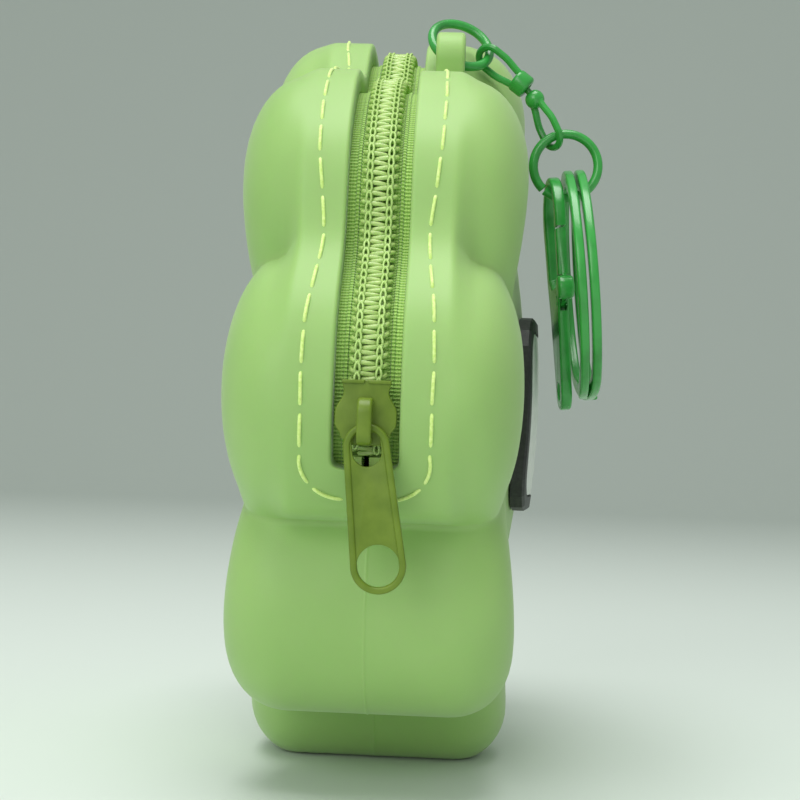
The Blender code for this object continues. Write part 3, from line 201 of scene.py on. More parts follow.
shell_turns = []
for petal in range(PETALS):
    for step in range(FINE_COLUMNS):
        theta = VALLEY_THETA * (2 * step / FINE_COLUMNS - 1)
        reach = PETAL_RING_RADIUS + PETAL_RADIUS * math.cos(theta)
        turn = petal * PETAL_STEP + math.atan2(PETAL_RADIUS * math.sin(theta), reach)
        if turn > 1.5 * math.pi:
            turn -= 2 * math.pi
        past_end = abs(max(-turn, turn - math.pi) - SLOT_END_TURN) * OUTER_RADIUS
        if past_end > SLOT_CORNER * 1.3:
            shell_turns.append(turn)
for end, way in ((-SLOT_END_TURN, 1), (math.pi + SLOT_END_TURN, -1)):
    for share in SLOT_CORNER_SHARES:
        shell_turns.append(end + way * share * SLOT_CORNER / OUTER_RADIUS)
shell_turns.sort()

shell_columns = [shell_column(turn) for turn in shell_turns]
wall_row = shell_columns[0][1]
shell_mesh = bmesh.new()
shell_grid = []
for turn, (column, _) in zip(shell_turns, shell_columns):
    shell_grid.append([])
    for radius, depth in column:
        point = flower_point(turn, radius, -depth)
        point.z = max(point.z, 0.0)
        shell_grid[-1].append(shell_mesh.verts.new(point))
for index, column in enumerate(shell_grid):
    after = (index + 1) % len(shell_grid)
    open_here = slot_half_width(shell_turns[index]) > 0 or slot_half_width(shell_turns[after]) > 0
    for row in range(len(column) - 1):
        if wall_row - 1 - LIP_STEPS <= row < wall_row and not open_here:
            continue
        corners = (column[row], shell_grid[after][row], shell_grid[after][row + 1], column[row + 1])
        shell_mesh.faces.new(corners)
bmesh.ops.remove_doubles(shell_mesh, verts=shell_mesh.verts, dist=MERGE_DISTANCE)
front_half = shell_mesh.verts[:] + shell_mesh.edges[:] + shell_mesh.faces[:]
back_half = bmesh.ops.duplicate(shell_mesh, geom=front_half)
for item in back_half["geom"]:
    if isinstance(item, bmesh.types.BMVert):
        item.co.y = -item.co.y
bmesh.ops.remove_doubles(shell_mesh, verts=shell_mesh.verts, dist=MERGE_DISTANCE)
bmesh.ops.dissolve_degenerate(shell_mesh, edges=shell_mesh.edges, dist=MERGE_DISTANCE / 2)
bmesh.ops.delete(shell_mesh, geom=[vert for vert in shell_mesh.verts if not vert.link_faces], context="VERTS")
bmesh.ops.recalc_face_normals(shell_mesh, faces=shell_mesh.faces)
purse_shell = new_piece("purse_shell", shell_mesh)
purse_shell.data.shade_smooth()


def shader(name, colour, roughness):
    """A new material with its Principled shader's plain settings."""
    made = bpy.data.materials.new(name)
    made.use_nodes = True
    principled = made.node_tree.nodes["Principled BSDF"]
    principled.inputs["Base Color"].default_value = (*colour, 1.0)
    principled.inputs["Roughness"].default_value = roughness
    return made, made.node_tree.nodes, made.node_tree.links, principled


def grain(nodes, links, scale, detail):
    """A noise pattern fixed to the piece."""
    place = nodes.new("ShaderNodeTexCoord")
    noise = nodes.new("ShaderNodeTexNoise")
    noise.inputs["Scale"].default_value = scale
    noise.inputs["Detail"].default_value = detail
    links.new(place.outputs["Object"], noise.inputs["Vector"])
    return noise


def blend_colours(nodes, links, factor, low, high, low_at=0.3, high_at=0.7):
    """A ramp between two colours."""
    ramp = nodes.new("ShaderNodeValToRGB")
    ramp.color_ramp.elements[0].position = low_at
    ramp.color_ramp.elements[0].color = (*low, 1.0)
    ramp.color_ramp.elements[1].position = high_at
    ramp.color_ramp.elements[1].color = (*high, 1.0)
    links.new(factor, ramp.inputs["Fac"])
    return ramp


def roughen(nodes, links, principled, height, strength, distance):
    """Bump from a height pattern."""
    bump = nodes.new("ShaderNodeBump")
    bump.inputs["Strength"].default_value = strength
    bump.inputs["Distance"].default_value = distance
    links.new(height, bump.inputs["Height"])
    links.new(bump.outputs["Normal"], principled.inputs["Normal"])


def grained(name, low, high, roughness, patches, bump=None, skin=None, ramp=(0.3, 0.7)):
    """A material whose colour drifts between two shades in patches, with a fine bump in its surface.

    patches and skin are the scale and detail of the colour's noise and of the bump's. Without skin the bump
    follows the colour. bump is its strength and depth.
    """
    made, nodes, links, principled = shader(name, high, roughness)
    patch = grain(nodes, links, *patches)
    tint = blend_colours(nodes, links, patch.outputs["Fac"], low, high, *ramp)
    links.new(tint.outputs["Color"], principled.inputs["Base Color"])
    if bump:
        height = grain(nodes, links, *skin) if skin else patch
        roughen(nodes, links, principled, height.outputs["Fac"], *bump)
    return made, principled


def dress(piece, material, slot_name, body, *nodes):
    """Give a finished piece its material, the body it rides on and the nodes it stands for. slot_name is not
    used.
    """
    piece.data.materials.clear()
    piece.data.materials.append(material)
    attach(piece, body)
    if nodes:
        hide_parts(*nodes)


SILICONE_DEEP = (0.280, 0.480, 0.132)
SILICONE_PALE = (0.325, 0.530, 0.160)
SILICONE_CLOUDS = (45.0, 3.0)
SILICONE_SKIN = (5200.0, 2.0)
SILICONE_BUMP = (0.18, 0.00006)
silicone, principled = grained(
    "soft_silicone", SILICONE_DEEP, SILICONE_PALE, 0.52, SILICONE_CLOUDS, SILICONE_BUMP, SILICONE_SKIN
)
principled.inputs["Subsurface Weight"].default_value = 0.22
principled.inputs["Subsurface Radius"].default_value = (0.5, 1.0, 0.3)
principled.inputs["Subsurface Scale"].default_value = 0.004
principled.inputs["Sheen Weight"].default_value = 0.15
principled.inputs["Sheen Roughness"].default_value = 0.4
dress(purse_shell, silicone, "silicone", "purse", "shell")

# The sewing: bright polyester thread in a running stitch, which joins the silicone band to the zipper tapes.
# It goes up one side of the slot, over the top and down the other, with a square turn past each end.
STITCH_PITCH = 0.0049
STITCH_LENGTH = 0.0043
STITCH_THREAD = 0.00023
STITCH_RISE = 0.00012
STITCH_SINK = 0.0004
STITCH_SLANT = 0.00012
STITCH_STEPS = 8
STITCH_CREST_Y = 0.0077
STITCH_VALLEY_PULL = 0.0012
STITCH_END_TURN = math.radians(15.4)
STITCH_CORNER = 0.0052
SEAM_CORNER_STEPS = 12
SEAM_SIDE_STEPS = 180


def stitch_route():
    """Turn and Y of points along the seam, once round the slot."""
    side = []
    corner_turn = STITCH_CORNER / OUTER_RADIUS
    low = -STITCH_END_TURN
    for step in range(SEAM_CORNER_STEPS + 1):
        angle = math.pi / 2 * step / SEAM_CORNER_STEPS
        y = STITCH_CREST_Y - STITCH_CORNER * (1 - math.sin(angle))
        side.append((low + corner_turn * (1 - math.cos(angle)), y))
    far_corner = [(math.pi - turn, y) for turn, y in reversed(side)]
    for step in range(1, SEAM_SIDE_STEPS):
        turn = low + corner_turn + (math.pi - 2 * (low + corner_turn)) * step / SEAM_SIDE_STEPS
        side.append((turn, STITCH_CREST_Y - STITCH_VALLEY_PULL * zipper_dip(turn) / BAND_DIP))
    side += far_corner
    return side + [(turn, -y) for turn, y in reversed(side)]


def along(route, distances):
    """Points of a closed (turn, y) route on the band at distances along it."""
    points = [flower_point(turn, rim_radius(turn, abs(y)), y) for turn, y in route]
    closed = points + [points[0]]
    lengths = [0.0]
    for first, second in zip(closed, closed[1:]):
        lengths.append(lengths[-1] + (second - first).length)
    made = []
    index = 0
    for distance in distances:
        distance = distance % lengths[-1]
        index = 0 if distance < lengths[index] else index
        while lengths[index + 1] < distance:
            index += 1
        share = (distance - lengths[index]) / (lengths[index + 1] - lengths[index])
        made.append(closed[index].lerp(closed[index + 1], share))
    return made, lengths[-1]


def outward(point):
    """Direction away from the flower's centre line."""
    return Vector((point.x, 0, point.z - CENTRE_HEIGHT)).normalized()


def pick(piece):
    """Select one piece alone and make it the active one."""
    bpy.ops.object.select_all(action="DESELECT")
    piece.select_set(True)
    bpy.context.view_layer.objects.active = piece


def soften(piece, degrees):
    """Shade a piece smooth, but for edges sharper than an angle."""
    piece.data.shade_smooth()
    piece.data.set_sharp_from_angle(angle=math.radians(degrees))


def merge_seams(piece):
    """Merge doubled points of a piece and turn its faces outwards."""
    pick(piece)
    bpy.ops.object.mode_set(mode="EDIT")
    bpy.ops.mesh.select_all(action="SELECT")
    bpy.ops.mesh.remove_doubles(threshold=MERGE_DISTANCE / 2)
    bpy.ops.mesh.normals_make_consistent(inside=False)
    bpy.ops.object.mode_set(mode="OBJECT")
    return piece


def curve_piece(name, curve, runs, cyclic):
    """Lay runs of points in a curve and convert it to a mesh."""
    for run in runs:
        spline = curve.splines.new("POLY")
        spline.points.add(len(run) - 1)
        spline.use_cyclic_u = cyclic
        for point, place in zip(spline.points, run):
            point.co = (*Vector(place).to_3d(), 1.0)
    made = bpy.data.objects.new(name, curve)
    bpy.context.collection.objects.link(made)
    pick(made)
    bpy.ops.object.convert(target="MESH")
    return bpy.context.object


def wires(name, runs, radius, round_steps=1, cyclic=False):
    """Round wires along runs of points, made as one mesh with closed ends."""
    curve = bpy.data.curves.new(name, "CURVE")
    curve.dimensions = "3D"
    curve.bevel_depth = radius
    curve.bevel_resolution = round_steps
    curve.use_fill_caps = not cyclic
    made = curve_piece(name, curve, runs, cyclic)
    if not cyclic:
        merge_seams(made)
    soften(made, 60)
    return made


seam = stitch_route()
seam_length = along(seam, [0.0])[1]
stitch_count = round(seam_length / STITCH_PITCH)
stitch_step = seam_length / stitch_count
stitch_runs = []
for number in range(stitch_count):
    start = number * stitch_step
    shares = [step / STITCH_STEPS for step in range(STITCH_STEPS + 1)]
    places = along(seam, [start + STITCH_LENGTH * share for share in shares])[0]
    run = []
    for share, place in zip(shares, places):
        height = STITCH_RISE - (STITCH_RISE + STITCH_SINK) * abs(2 * share - 1) ** 6
        slant = STITCH_SLANT * math.sin(number * 2.4) * (share - 0.5)
        run.append(place + outward(place) * height + Vector((0, slant, 0)))
    stitch_runs.append(run)
stitches = wires("seam_thread", stitch_runs, STITCH_THREAD, 2)
THREAD_DEEP = (0.54, 0.80, 0.17)
THREAD_PALE = (0.76, 0.94, 0.33)
THREAD_TWIST = (2600.0, 2.0)
THREAD_BUMP = (0.5, 0.0001)
thread, principled = grained("bright_thread", THREAD_DEEP, THREAD_PALE, 0.5, THREAD_TWIST, THREAD_BUMP)
principled.inputs["Sheen Weight"].default_value = 0.3
dress(stitches, thread, "silicone", "purse")

# The zipper tapes: two woven polyester ribbons sewn behind the slot's edges. Ribs run across each tape, and a
# raised cord lies beside the coil. Each follows the band over the petals.
TAPE_OUTER = OUTER_RADIUS - BAND_WALL - 0.0003
TAPE_THICKNESS = 0.0005
TAPE_HALF_GAP = 0.0003
TAPE_HALF_WIDTH = 0.0075
TAPE_END_TURN = math.radians(15.2)
TAPE_STEPS = 260
TAPE_CORD_Y = 0.00275
TAPE_CORD_FOOT = 0.0003
TAPE_CORD_CREST = 0.00015
TAPE_CORD_HEIGHT = 0.00022


def ribbon(name, section, start, end, steps):
    """A closed strip along the zipper's path, with UV in metres along and across it."""
    strip = bmesh.new()
    layer = strip.loops.layers.uv.new("cloth")
    rings = []
    for step in range(steps + 1):
        turn = start + (end - start) * step / steps
        sink = zipper_dip(turn)
        points = [flower_point(turn, radius - sink, y) for y, radius in section]
        rings.append([strip.verts.new(point) for point in points])
    count = len(section)
    pitch = (end - start) * TAPE_OUTER / steps
    for step, (low, high) in enumerate(zip(rings, rings[1:])):
        for index in range(count):
            after = (index + 1) % count
            face = strip.faces.new((low[index], low[after], high[after], high[index]))
            spots = ((step, index), (step, after), (step + 1, after), (step + 1, index))
            for loop, (at, corner) in zip(face.loops, spots):
                loop[layer].uv = (at * pitch, section[corner][0])
    strip.faces.new(rings[0])
    strip.faces.new(rings[-1])
    bmesh.ops.recalc_face_normals(strip, faces=strip.faces)
    made = new_piece(name, strip)
    soften(made, 50)
    return made


TAPE_GREEN = (0.24, 0.50, 0.060)
TAPE_LIGHT = (0.50, 0.78, 0.18)
TAPE_BUMP = (0.8, 0.0002)
woven, nodes, links, principled = shader("woven_tape", TAPE_GREEN, 0.75)
cloth_place = nodes.new("ShaderNodeUVMap")
cloth_place.uv_map = "cloth"
ribs = nodes.new("ShaderNodeTexWave")
ribs.wave_type = "BANDS"
ribs.bands_direction = "X"
ribs.inputs["Scale"].default_value = 700.0
ribs.inputs["Distortion"].default_value = 0.3
ribs.inputs["Detail Scale"].default_value = 2.0
links.new(cloth_place.outputs["UV"], ribs.inputs["Vector"])
warps = nodes.new("ShaderNodeTexWave")
warps.wave_type = "BANDS"
warps.bands_direction = "Y"
warps.inputs["Scale"].default_value = 900.0
links.new(cloth_place.outputs["UV"], warps.inputs["Vector"])
weave = nodes.new("ShaderNodeMath")
weave.operation = "MULTIPLY_ADD"
links.new(warps.outputs["Fac"], weave.inputs[0])
weave.inputs[1].default_value = 0.3
links.new(ribs.outputs["Fac"], weave.inputs[2])
cloth_tint = blend_colours(nodes, links, weave.outputs["Value"], TAPE_GREEN, TAPE_LIGHT, 0.15, 1.1)
links.new(cloth_tint.outputs["Color"], principled.inputs["Base Color"])
roughen(nodes, links, principled, weave.outputs["Value"], *TAPE_BUMP)
principled.inputs["Sheen Weight"].default_value = 0.35
for side, name in ((-1, "front"), (1, "back")):
    low = TAPE_OUTER - TAPE_THICKNESS
    cord_top = TAPE_OUTER + TAPE_CORD_HEIGHT
    section = [
        (side * TAPE_HALF_GAP, low),
        (side * TAPE_HALF_WIDTH, low),
        (side * TAPE_HALF_WIDTH, TAPE_OUTER),
        (side * (TAPE_CORD_Y + TAPE_CORD_FOOT), TAPE_OUTER),
        (side * (TAPE_CORD_Y + TAPE_CORD_CREST), cord_top),
        (side * (TAPE_CORD_Y - TAPE_CORD_CREST), cord_top),
        (side * (TAPE_CORD_Y - TAPE_CORD_FOOT), TAPE_OUTER),
        (side * TAPE_HALF_GAP, TAPE_OUTER),
    ]
    tape = ribbon("zipper_tape_" + name, section, -TAPE_END_TURN, math.pi + TAPE_END_TURN, TAPE_STEPS)
    dress(tape, woven, "woven_tape", "purse", "tape_" + name)

# The zipper coils: nylon monofilament wound into a flat helix on each tape, whose heads mesh in the middle.
# A chain of thread loops down each coil sews it to its tape.
COIL_PITCH = 0.0012
COIL_WIRE = 0.0003
COIL_BOTTOM = TAPE_OUTER + 0.0003
COIL_TOP = COIL_BOTTOM + 0.0016
COIL_OUTER_Y = 0.00235
COIL_HEAD_Y = 0.0011
COIL_END_TURN = math.radians(8.9)
COIL_POINTS = 16
COIL_ACROSS_POWER = 0.8
COIL_UP_POWER = 0.7
LOOP_THREAD = 0.00015
LOOP_REACH_TURNS = 1.16
LOOP_Y = 0.00128
LOOP_HALF_WIDTH = 0.0004
LOOP_LIFT = 0.00012
LOOP_SINK = 0.0002
LOOP_STEPS = 10
NYLON_DEEP = (0.36, 0.54, 0.15)
NYLON_PALE = (0.48, 0.66, 0.22)
NYLON_HAZE = (900.0, 2.0)
LOOP_DEEP = (0.38, 0.58, 0.15)
LOOP_PALE = (0.54, 0.74, 0.26)
LOOP_TWIST = (3000.0, 2.0)
coil_middle = COIL_BOTTOM - BAND_DIP / 4
coil_sweep = math.pi + 2 * COIL_END_TURN
coil_turns = round(coil_sweep * coil_middle / COIL_PITCH)
nylon, principled = grained("clear_nylon", NYLON_DEEP, NYLON_PALE, 0.3, NYLON_HAZE)
principled.inputs["Subsurface Weight"].default_value = 0.3
principled.inputs["Subsurface Radius"].default_value = (0.6, 1.0, 0.4)
principled.inputs["Subsurface Scale"].default_value = 0.0015
chain_thread, principled = grained("coil_thread", LOOP_DEEP, LOOP_PALE, 0.6, LOOP_TWIST, THREAD_BUMP)


def coil_point(number, radius, y):
    """A point beside the middle of the zipper, a number of coil turns along it."""
    turn = coil_sweep * number / coil_turns - COIL_END_TURN
    return flower_point(turn, radius - zipper_dip(turn), y)


coil_reach = COIL_OUTER_Y + COIL_HEAD_Y - 2 * COIL_WIRE
coil_mid_y = COIL_OUTER_Y - COIL_WIRE - coil_reach / 2
coil_mid_radius = (COIL_TOP + COIL_BOTTOM) / 2
coil_half_height = (COIL_TOP - COIL_BOTTOM) / 2 - COIL_WIRE
for side, name in ((-1, "front"), (1, "back")):
    offset = 0.5 if side > 0 else 0.0
    run = []
    for step in range(coil_turns * COIL_POINTS + 1):
        number = step / COIL_POINTS
        angle = 2 * math.pi * (number + offset)
        advance = number - (math.sin(angle) - math.sin(2 * math.pi * offset)) / (2 * math.pi)
        across = math.copysign(abs(math.cos(angle)) ** COIL_ACROSS_POWER, math.cos(angle))
        up = math.copysign(abs(math.sin(angle)) ** COIL_UP_POWER, math.sin(angle))
        y = side * (coil_mid_y - across * coil_reach / 2)
        run.append(coil_point(advance, coil_mid_radius + coil_half_height * up, y))
    coil = wires("zipper_coil_" + name, [run], COIL_WIRE)
    dress(coil, nylon, "nylon_coil", "purse", "coil_" + name)
    loops = []
    for number in range(coil_turns):
        loop = []
        for step in range(LOOP_STEPS):
            angle = 2 * math.pi * step / LOOP_STEPS
            share = 0.5 - 0.5 * math.cos(angle)
            half = LOOP_HALF_WIDTH * math.sin(angle) * (1.0 - 0.5 * share)
            height = COIL_TOP + LOOP_LIFT - LOOP_SINK * abs(math.cos(angle))
            at = number + offset + LOOP_REACH_TURNS * share
            loop.append(coil_point(at, height, side * LOOP_Y + half))
        loops.append(loop)
    chain = wires("coil_stitches_" + name, loops, LOOP_THREAD, cyclic=True)
    dress(chain, chain_thread, "nylon_coil", "purse")

# The slider: a die-cast body in olive enamel. Its waisted top plate has turned-up lips at the upper edge, and
# a round-topped bridge stands on it for the pull. A post joins it to the lower plate behind the tapes.
SLIDER_TURN = math.radians(-3.3)
SLIDER_LENGTH = 0.0076
SLIDER_HALF_WIDTH = 0.0036
SLIDER_PLAY = 0.0003
SLIDER_TOP_UNDER = COIL_TOP + SLIDER_PLAY
SLIDER_TOP_THICKNESS = 0.001
SLIDER_TOP = SLIDER_TOP_UNDER + SLIDER_TOP_THICKNESS
SLIDER_UNDER_GAP = 0.0007
SLIDER_LOW_THICKNESS = 0.0011
SLIDER_BOTTOM_TOP = TAPE_OUTER - TAPE_THICKNESS - SLIDER_UNDER_GAP
SLIDER_BOTTOM = SLIDER_BOTTOM_TOP - SLIDER_LOW_THICKNESS
SLIDER_ROUNDING = 0.00016
POST_HALF_THICKNESS = 0.00025
POST_ROUNDING = 0.00003
POST_SINK = 0.0004
LIP_TOP_X = (0.0002, 0.00287)
LIP_FOOT_X = (0.0003, 0.0028)
LIP_LENGTH = 0.0004
LIP_ROUNDING = 0.0001
LIP_THICKNESS = 0.0007
BRIDGE_START = 0.00018
BRIDGE_LENGTH = 0.0054
BRIDGE_RISE = 0.0029
BRIDGE_BAR = 0.0009
BRIDGE_WIDTH = 0.0017
BRIDGE_NEAR_ROUND = 0.0011
BRIDGE_FAR_ROUND = 0.0017
BRIDGE_ROUNDING = 0.0003
SLIDER_EDGE_SHARES = ((1.0, 0.80), (0.62, 0.73), (0.02, 1.0), (-0.34, 1.0), (-0.72, 0.80), (-1.0, 0.55))
SLIDER_EDGE_STEPS = 8
FLOWER_CENTRE = Vector((0, 0, CENTRE_HEIGHT))
slider_frame = Matrix(((0, 0, -1, 0), (-1, 0, 0, 0), (0, 1, 0, 0), (0, 0, 0, 1)))
slider_place = Matrix.Translation(FLOWER_CENTRE) @ Matrix.Rotation(SLIDER_TURN, 4, "Y")


def arc(centre, radius, start, end, steps):
    """Points on an arc, angles in degrees."""
    points = []
    for step in range(steps + 1):
        angle = math.radians(start + (end - start) * step / steps)
        points.append((centre[0] + radius * math.cos(angle), centre[1] + radius * math.sin(angle)))
    return points


def cut_plate(name, outlines, thickness, rounding, round_steps=3):
    """A flat plate with rounded edges from its outline and the outlines of its holes."""
    curve = bpy.data.curves.new(name, "CURVE")
    curve.dimensions = "2D"
    curve.fill_mode = "BOTH"
    curve.extrude = thickness / 2 - rounding
    curve.bevel_depth = rounding
    curve.bevel_resolution = round_steps
    curve.offset = -rounding
    return merge_seams(curve_piece(name, curve, outlines, True))


def put(piece, placement):
    """Place a piece's mesh and leave its object at the origin."""
    piece.data.transform(placement)
    piece.data.update()
    return piece


def combine(piece, other, operation):
    """Join another piece to this one, or cut it out of it, and remove the other."""
    change = piece.modifiers.new("change", "BOOLEAN")
    change.operation = operation
    change.solver = "EXACT"
    change.object = other
    pick(piece)
    bpy.ops.object.modifier_apply(modifier="change")
    bpy.data.objects.remove(other)


def unite(name, pieces):
    """Join pieces into one closed piece."""
    whole = pieces[0]
    for other in pieces[1:]:
        combine(whole, other, "UNION")
    whole.name = name
    whole.data.name = name
    soften(whole, 35)
    return whole


half_length = SLIDER_LENGTH / 2
slider_right = []
for (near, near_width), (far, far_width) in zip(SLIDER_EDGE_SHARES, SLIDER_EDGE_SHARES[1:]):
    for step in range(SLIDER_EDGE_STEPS):
        share = step / SLIDER_EDGE_STEPS
        width = near_width + (far_width - near_width) * ease(share)
        slider_right.append((SLIDER_HALF_WIDTH * width, half_length * (near + (far - near) * share)))
slider_right.append((SLIDER_HALF_WIDTH * SLIDER_EDGE_SHARES[-1][1], -half_length))
slider_outline = slider_right + [(-x, y) for x, y in reversed(slider_right)]
post_outline = arc((0, -half_length * 0.62), POST_HALF_THICKNESS, 180, 360, 6)
post_outline += arc((0, -half_length * 0.3), POST_HALF_THICKNESS, 0, 180, 6)
slider_pieces = []
for name, outline, low, high, rounding, round_steps in (
    ("slider_top", slider_outline, SLIDER_TOP_UNDER, SLIDER_TOP, SLIDER_ROUNDING, 3),
    ("slider_low", slider_outline, SLIDER_BOTTOM, SLIDER_BOTTOM_TOP, SLIDER_ROUNDING, 3),
    ("slider_post", post_outline, SLIDER_BOTTOM_TOP - POST_SINK / 2, SLIDER_TOP_UNDER + POST_SINK / 2,
     POST_ROUNDING, 1),
):
    plate = cut_plate(name, [outline], high - low, rounding, round_steps)
    slider_pieces.append(put(plate, slider_frame @ Matrix.Translation((0, 0, (low + high) / 2))))
for side in (-1, 1):
    lip_outline = [(side * x, half_length) for x in reversed(LIP_TOP_X)]
    lip_outline += [(side * x, half_length - LIP_LENGTH) for x in LIP_FOOT_X]
    lip_plate = cut_plate("slider_lip", [lip_outline], LIP_THICKNESS, LIP_ROUNDING, 2)
    slider_pieces.append(put(lip_plate, slider_frame @ Matrix.Translation((0, 0, SLIDER_TOP))))
bridge_low = -half_length + BRIDGE_START
bridge_high = bridge_low + BRIDGE_LENGTH
bridge_foot = SLIDER_TOP_UNDER + BRIDGE_ROUNDING
bridge_top = SLIDER_TOP + BRIDGE_RISE
near_high = bridge_top - BRIDGE_NEAR_ROUND
near_round = (bridge_low + BRIDGE_NEAR_ROUND, near_high)
far_round = (bridge_high - BRIDGE_FAR_ROUND, bridge_top - BRIDGE_FAR_ROUND)
inner_round = (bridge_high - 2 * BRIDGE_BAR, bridge_top - 2 * BRIDGE_BAR)
bridge_outline = [(bridge_low, bridge_foot), (bridge_low, near_high)]
bridge_outline += arc(near_round, BRIDGE_NEAR_ROUND, 180, 90, 8)
bridge_outline += arc(far_round, BRIDGE_FAR_ROUND, 90, 0, 10)
bridge_outline += [(bridge_high, bridge_foot), (bridge_high - BRIDGE_BAR, bridge_foot)]
bridge_outline += arc(inner_round, BRIDGE_BAR, 0, 90, 6)
bridge_outline += [(bridge_low + BRIDGE_BAR, bridge_top - BRIDGE_BAR), (bridge_low + BRIDGE_BAR, bridge_foot)]
bridge = cut_plate("slider_bridge", [bridge_outline], BRIDGE_WIDTH, BRIDGE_ROUNDING, 4)
put(bridge, Matrix(((0, -1, 0, 0), (0, 0, -1, 0), (1, 0, 0, 0), (0, 0, 0, 1))))
slider_pieces.append(bridge)
slider = put(unite("zip_slider", slider_pieces), slider_place)

OLIVE_DEEP = (0.112, 0.186, 0.012)
OLIVE_PALE = (0.160, 0.245, 0.022)
OLIVE_MOTTLE = (420.0, 4.0)
OLIVE_PEEL = (1800.0, 2.0)
OLIVE_BUMP = (0.15, 0.00006)
olive, principled = grained(
    "olive_enamel", OLIVE_DEEP, OLIVE_PALE, 0.38, OLIVE_MOTTLE, OLIVE_BUMP, OLIVE_PEEL
)
principled.inputs["Specular IOR Level"].default_value = 0.35
dress(slider, olive, "olive_enamel", "slider", "slider_body")

# The pull: a stamped plate in the same enamel, with a raised rim, a recessed panel, an eye that hangs on the
# bridge and a round hole at its free end. It hangs straight down, a little to the front.
PULL_LENGTH = 0.0198
PULL_THICKNESS = 0.0011
PULL_BAR = 0.0011
PULL_LEAN = math.radians(7.5)
PULL_PLAY = 0.0004
PULL_TOP_HALF = 0.0027
PULL_BOTTOM_HALF = 0.00325
PULL_RIM = 0.0008
PULL_RIM_ROUNDING = 0.00025
PULL_WEB_SHARE = 0.55
PULL_WEB_ROUNDING = 0.00008
PULL_EYE_HALF = 0.0017
PULL_EYE_LENGTH = 0.0039
PULL_EYE_CORNER = 0.001
PULL_HOLE_RADIUS = 0.0025
pull_bar_height = SLIDER_TOP + PULL_PLAY + PULL_THICKNESS / 2
pull_bar_along = bridge_low + BRIDGE_BAR + PULL_PLAY + PULL_BAR / 2
pull_top = PULL_BAR / 2
pull_bottom = pull_top - PULL_LENGTH


def pull_edge(inset):
    top = arc((0, pull_top - PULL_TOP_HALF), PULL_TOP_HALF - inset, -2, 182, 24)
    low = arc((0, pull_bottom + PULL_BOTTOM_HALF), PULL_BOTTOM_HALF - inset, 182, 358, 24)
    return top + low


eye_top = pull_top - PULL_BAR
eye_corner_x = PULL_EYE_HALF - PULL_EYE_CORNER
eye_hole = arc((eye_corner_x, eye_top - PULL_EYE_CORNER), PULL_EYE_CORNER, 0, 90, 6)
eye_hole += arc((-eye_corner_x, eye_top - PULL_EYE_CORNER), PULL_EYE_CORNER, 90, 180, 6)
eye_hole += arc((0, eye_top - PULL_EYE_LENGTH + PULL_EYE_HALF), PULL_EYE_HALF, 180, 360, 16)
low_hole = arc((0, pull_bottom + PULL_BOTTOM_HALF), PULL_HOLE_RADIUS, 0, 350, 35)
web_outlines = [pull_edge(PULL_RIM / 2), eye_hole, low_hole]
web = cut_plate("pull_web", web_outlines, PULL_THICKNESS * PULL_WEB_SHARE, PULL_WEB_ROUNDING, 2)
rim = cut_plate("pull_rim", [pull_edge(0.0), pull_edge(PULL_RIM)], PULL_THICKNESS, PULL_RIM_ROUNDING, 4)
pull = unite("zip_pull_tab", [rim, web])
pull_place = Matrix.Translation(Vector((-pull_bar_height, 0, pull_bar_along)))
put(pull, slider_place @ pull_place @ slider_frame @ Matrix.Rotation(PULL_LEAN, 4, "Z"))
dress(pull, olive, "olive_enamel", "pull", "zip_pull")

# The hanging tab: a thick round-topped lug of the same silicone, moulded in one with the band on its front
# side. A slanted hole runs through it for the first ring of the chain.
TAB_X = -0.0172
TAB_HOLE_RISE = 0.0021
TAB_RADIUS = 0.0034
TAB_FRONT_Y = -0.0096
TAB_BACK_Y = -0.0056
TAB_ROOT = 0.0012
TAB_HOLE_RADIUS = 0.0019
TAB_FLARE = 0.0007
TAB_ROUNDING = 0.0006
RING_WIRE = 0.00065
TAB_RING_RADIUS = 0.00425
TAB_RING_SLOPE = math.radians(30.5)
TAB_RING_LEAN = math.radians(36.5)
TAB_RING_SEAT = math.radians(-88.7)
TAB_RING_HANG = math.radians(12.0)
TAB_RING_SAG = 0.0007
tab_turn = math.acos(-TAB_X / (OUTER_RADIUS - BAND_DIP + TAB_HOLE_RISE))
tab_up = flower_point(tab_turn, 1.0, 0) - flower_point(tab_turn, 0, 0)
tab_middle_y = (TAB_FRONT_Y + TAB_BACK_Y) / 2
tab_hole = flower_point(tab_turn, OUTER_RADIUS - zipper_dip(tab_turn) + TAB_HOLE_RISE, tab_middle_y)
ring_front = Vector((0, -math.cos(TAB_RING_SLOPE), -math.sin(TAB_RING_SLOPE)))
ring_back = Vector((math.sin(TAB_RING_LEAN), 0, math.cos(TAB_RING_LEAN)))
ring_rise = (ring_back - ring_front * ring_back.dot(ring_front)).normalized()


def tab_ring_spoke(angle):
    return ring_front * math.cos(angle) + ring_rise * math.sin(angle)


def placed_frame(across, along, origin):
    """A placement whose local X is across and local Y is along, both made square."""
    along = along.normalized()
    normal = across.cross(along).normalized()
    placed = Matrix((along.cross(normal).normalized(), along, normal)).transposed().to_4x4()
    placed.translation = origin
    return placed


def skin_rings(shape, rings):
    """Faces between rings of points, with both ends closed."""
    for low, high in zip(rings, rings[1:]):
        for index in range(len(low)):
            after = (index + 1) % len(low)
            shape.faces.new((low[index], low[after], high[after], high[index]))
    shape.faces.new(rings[0])
    shape.faces.new(rings[-1])
    bmesh.ops.recalc_face_normals(shape, faces=shape.faces)


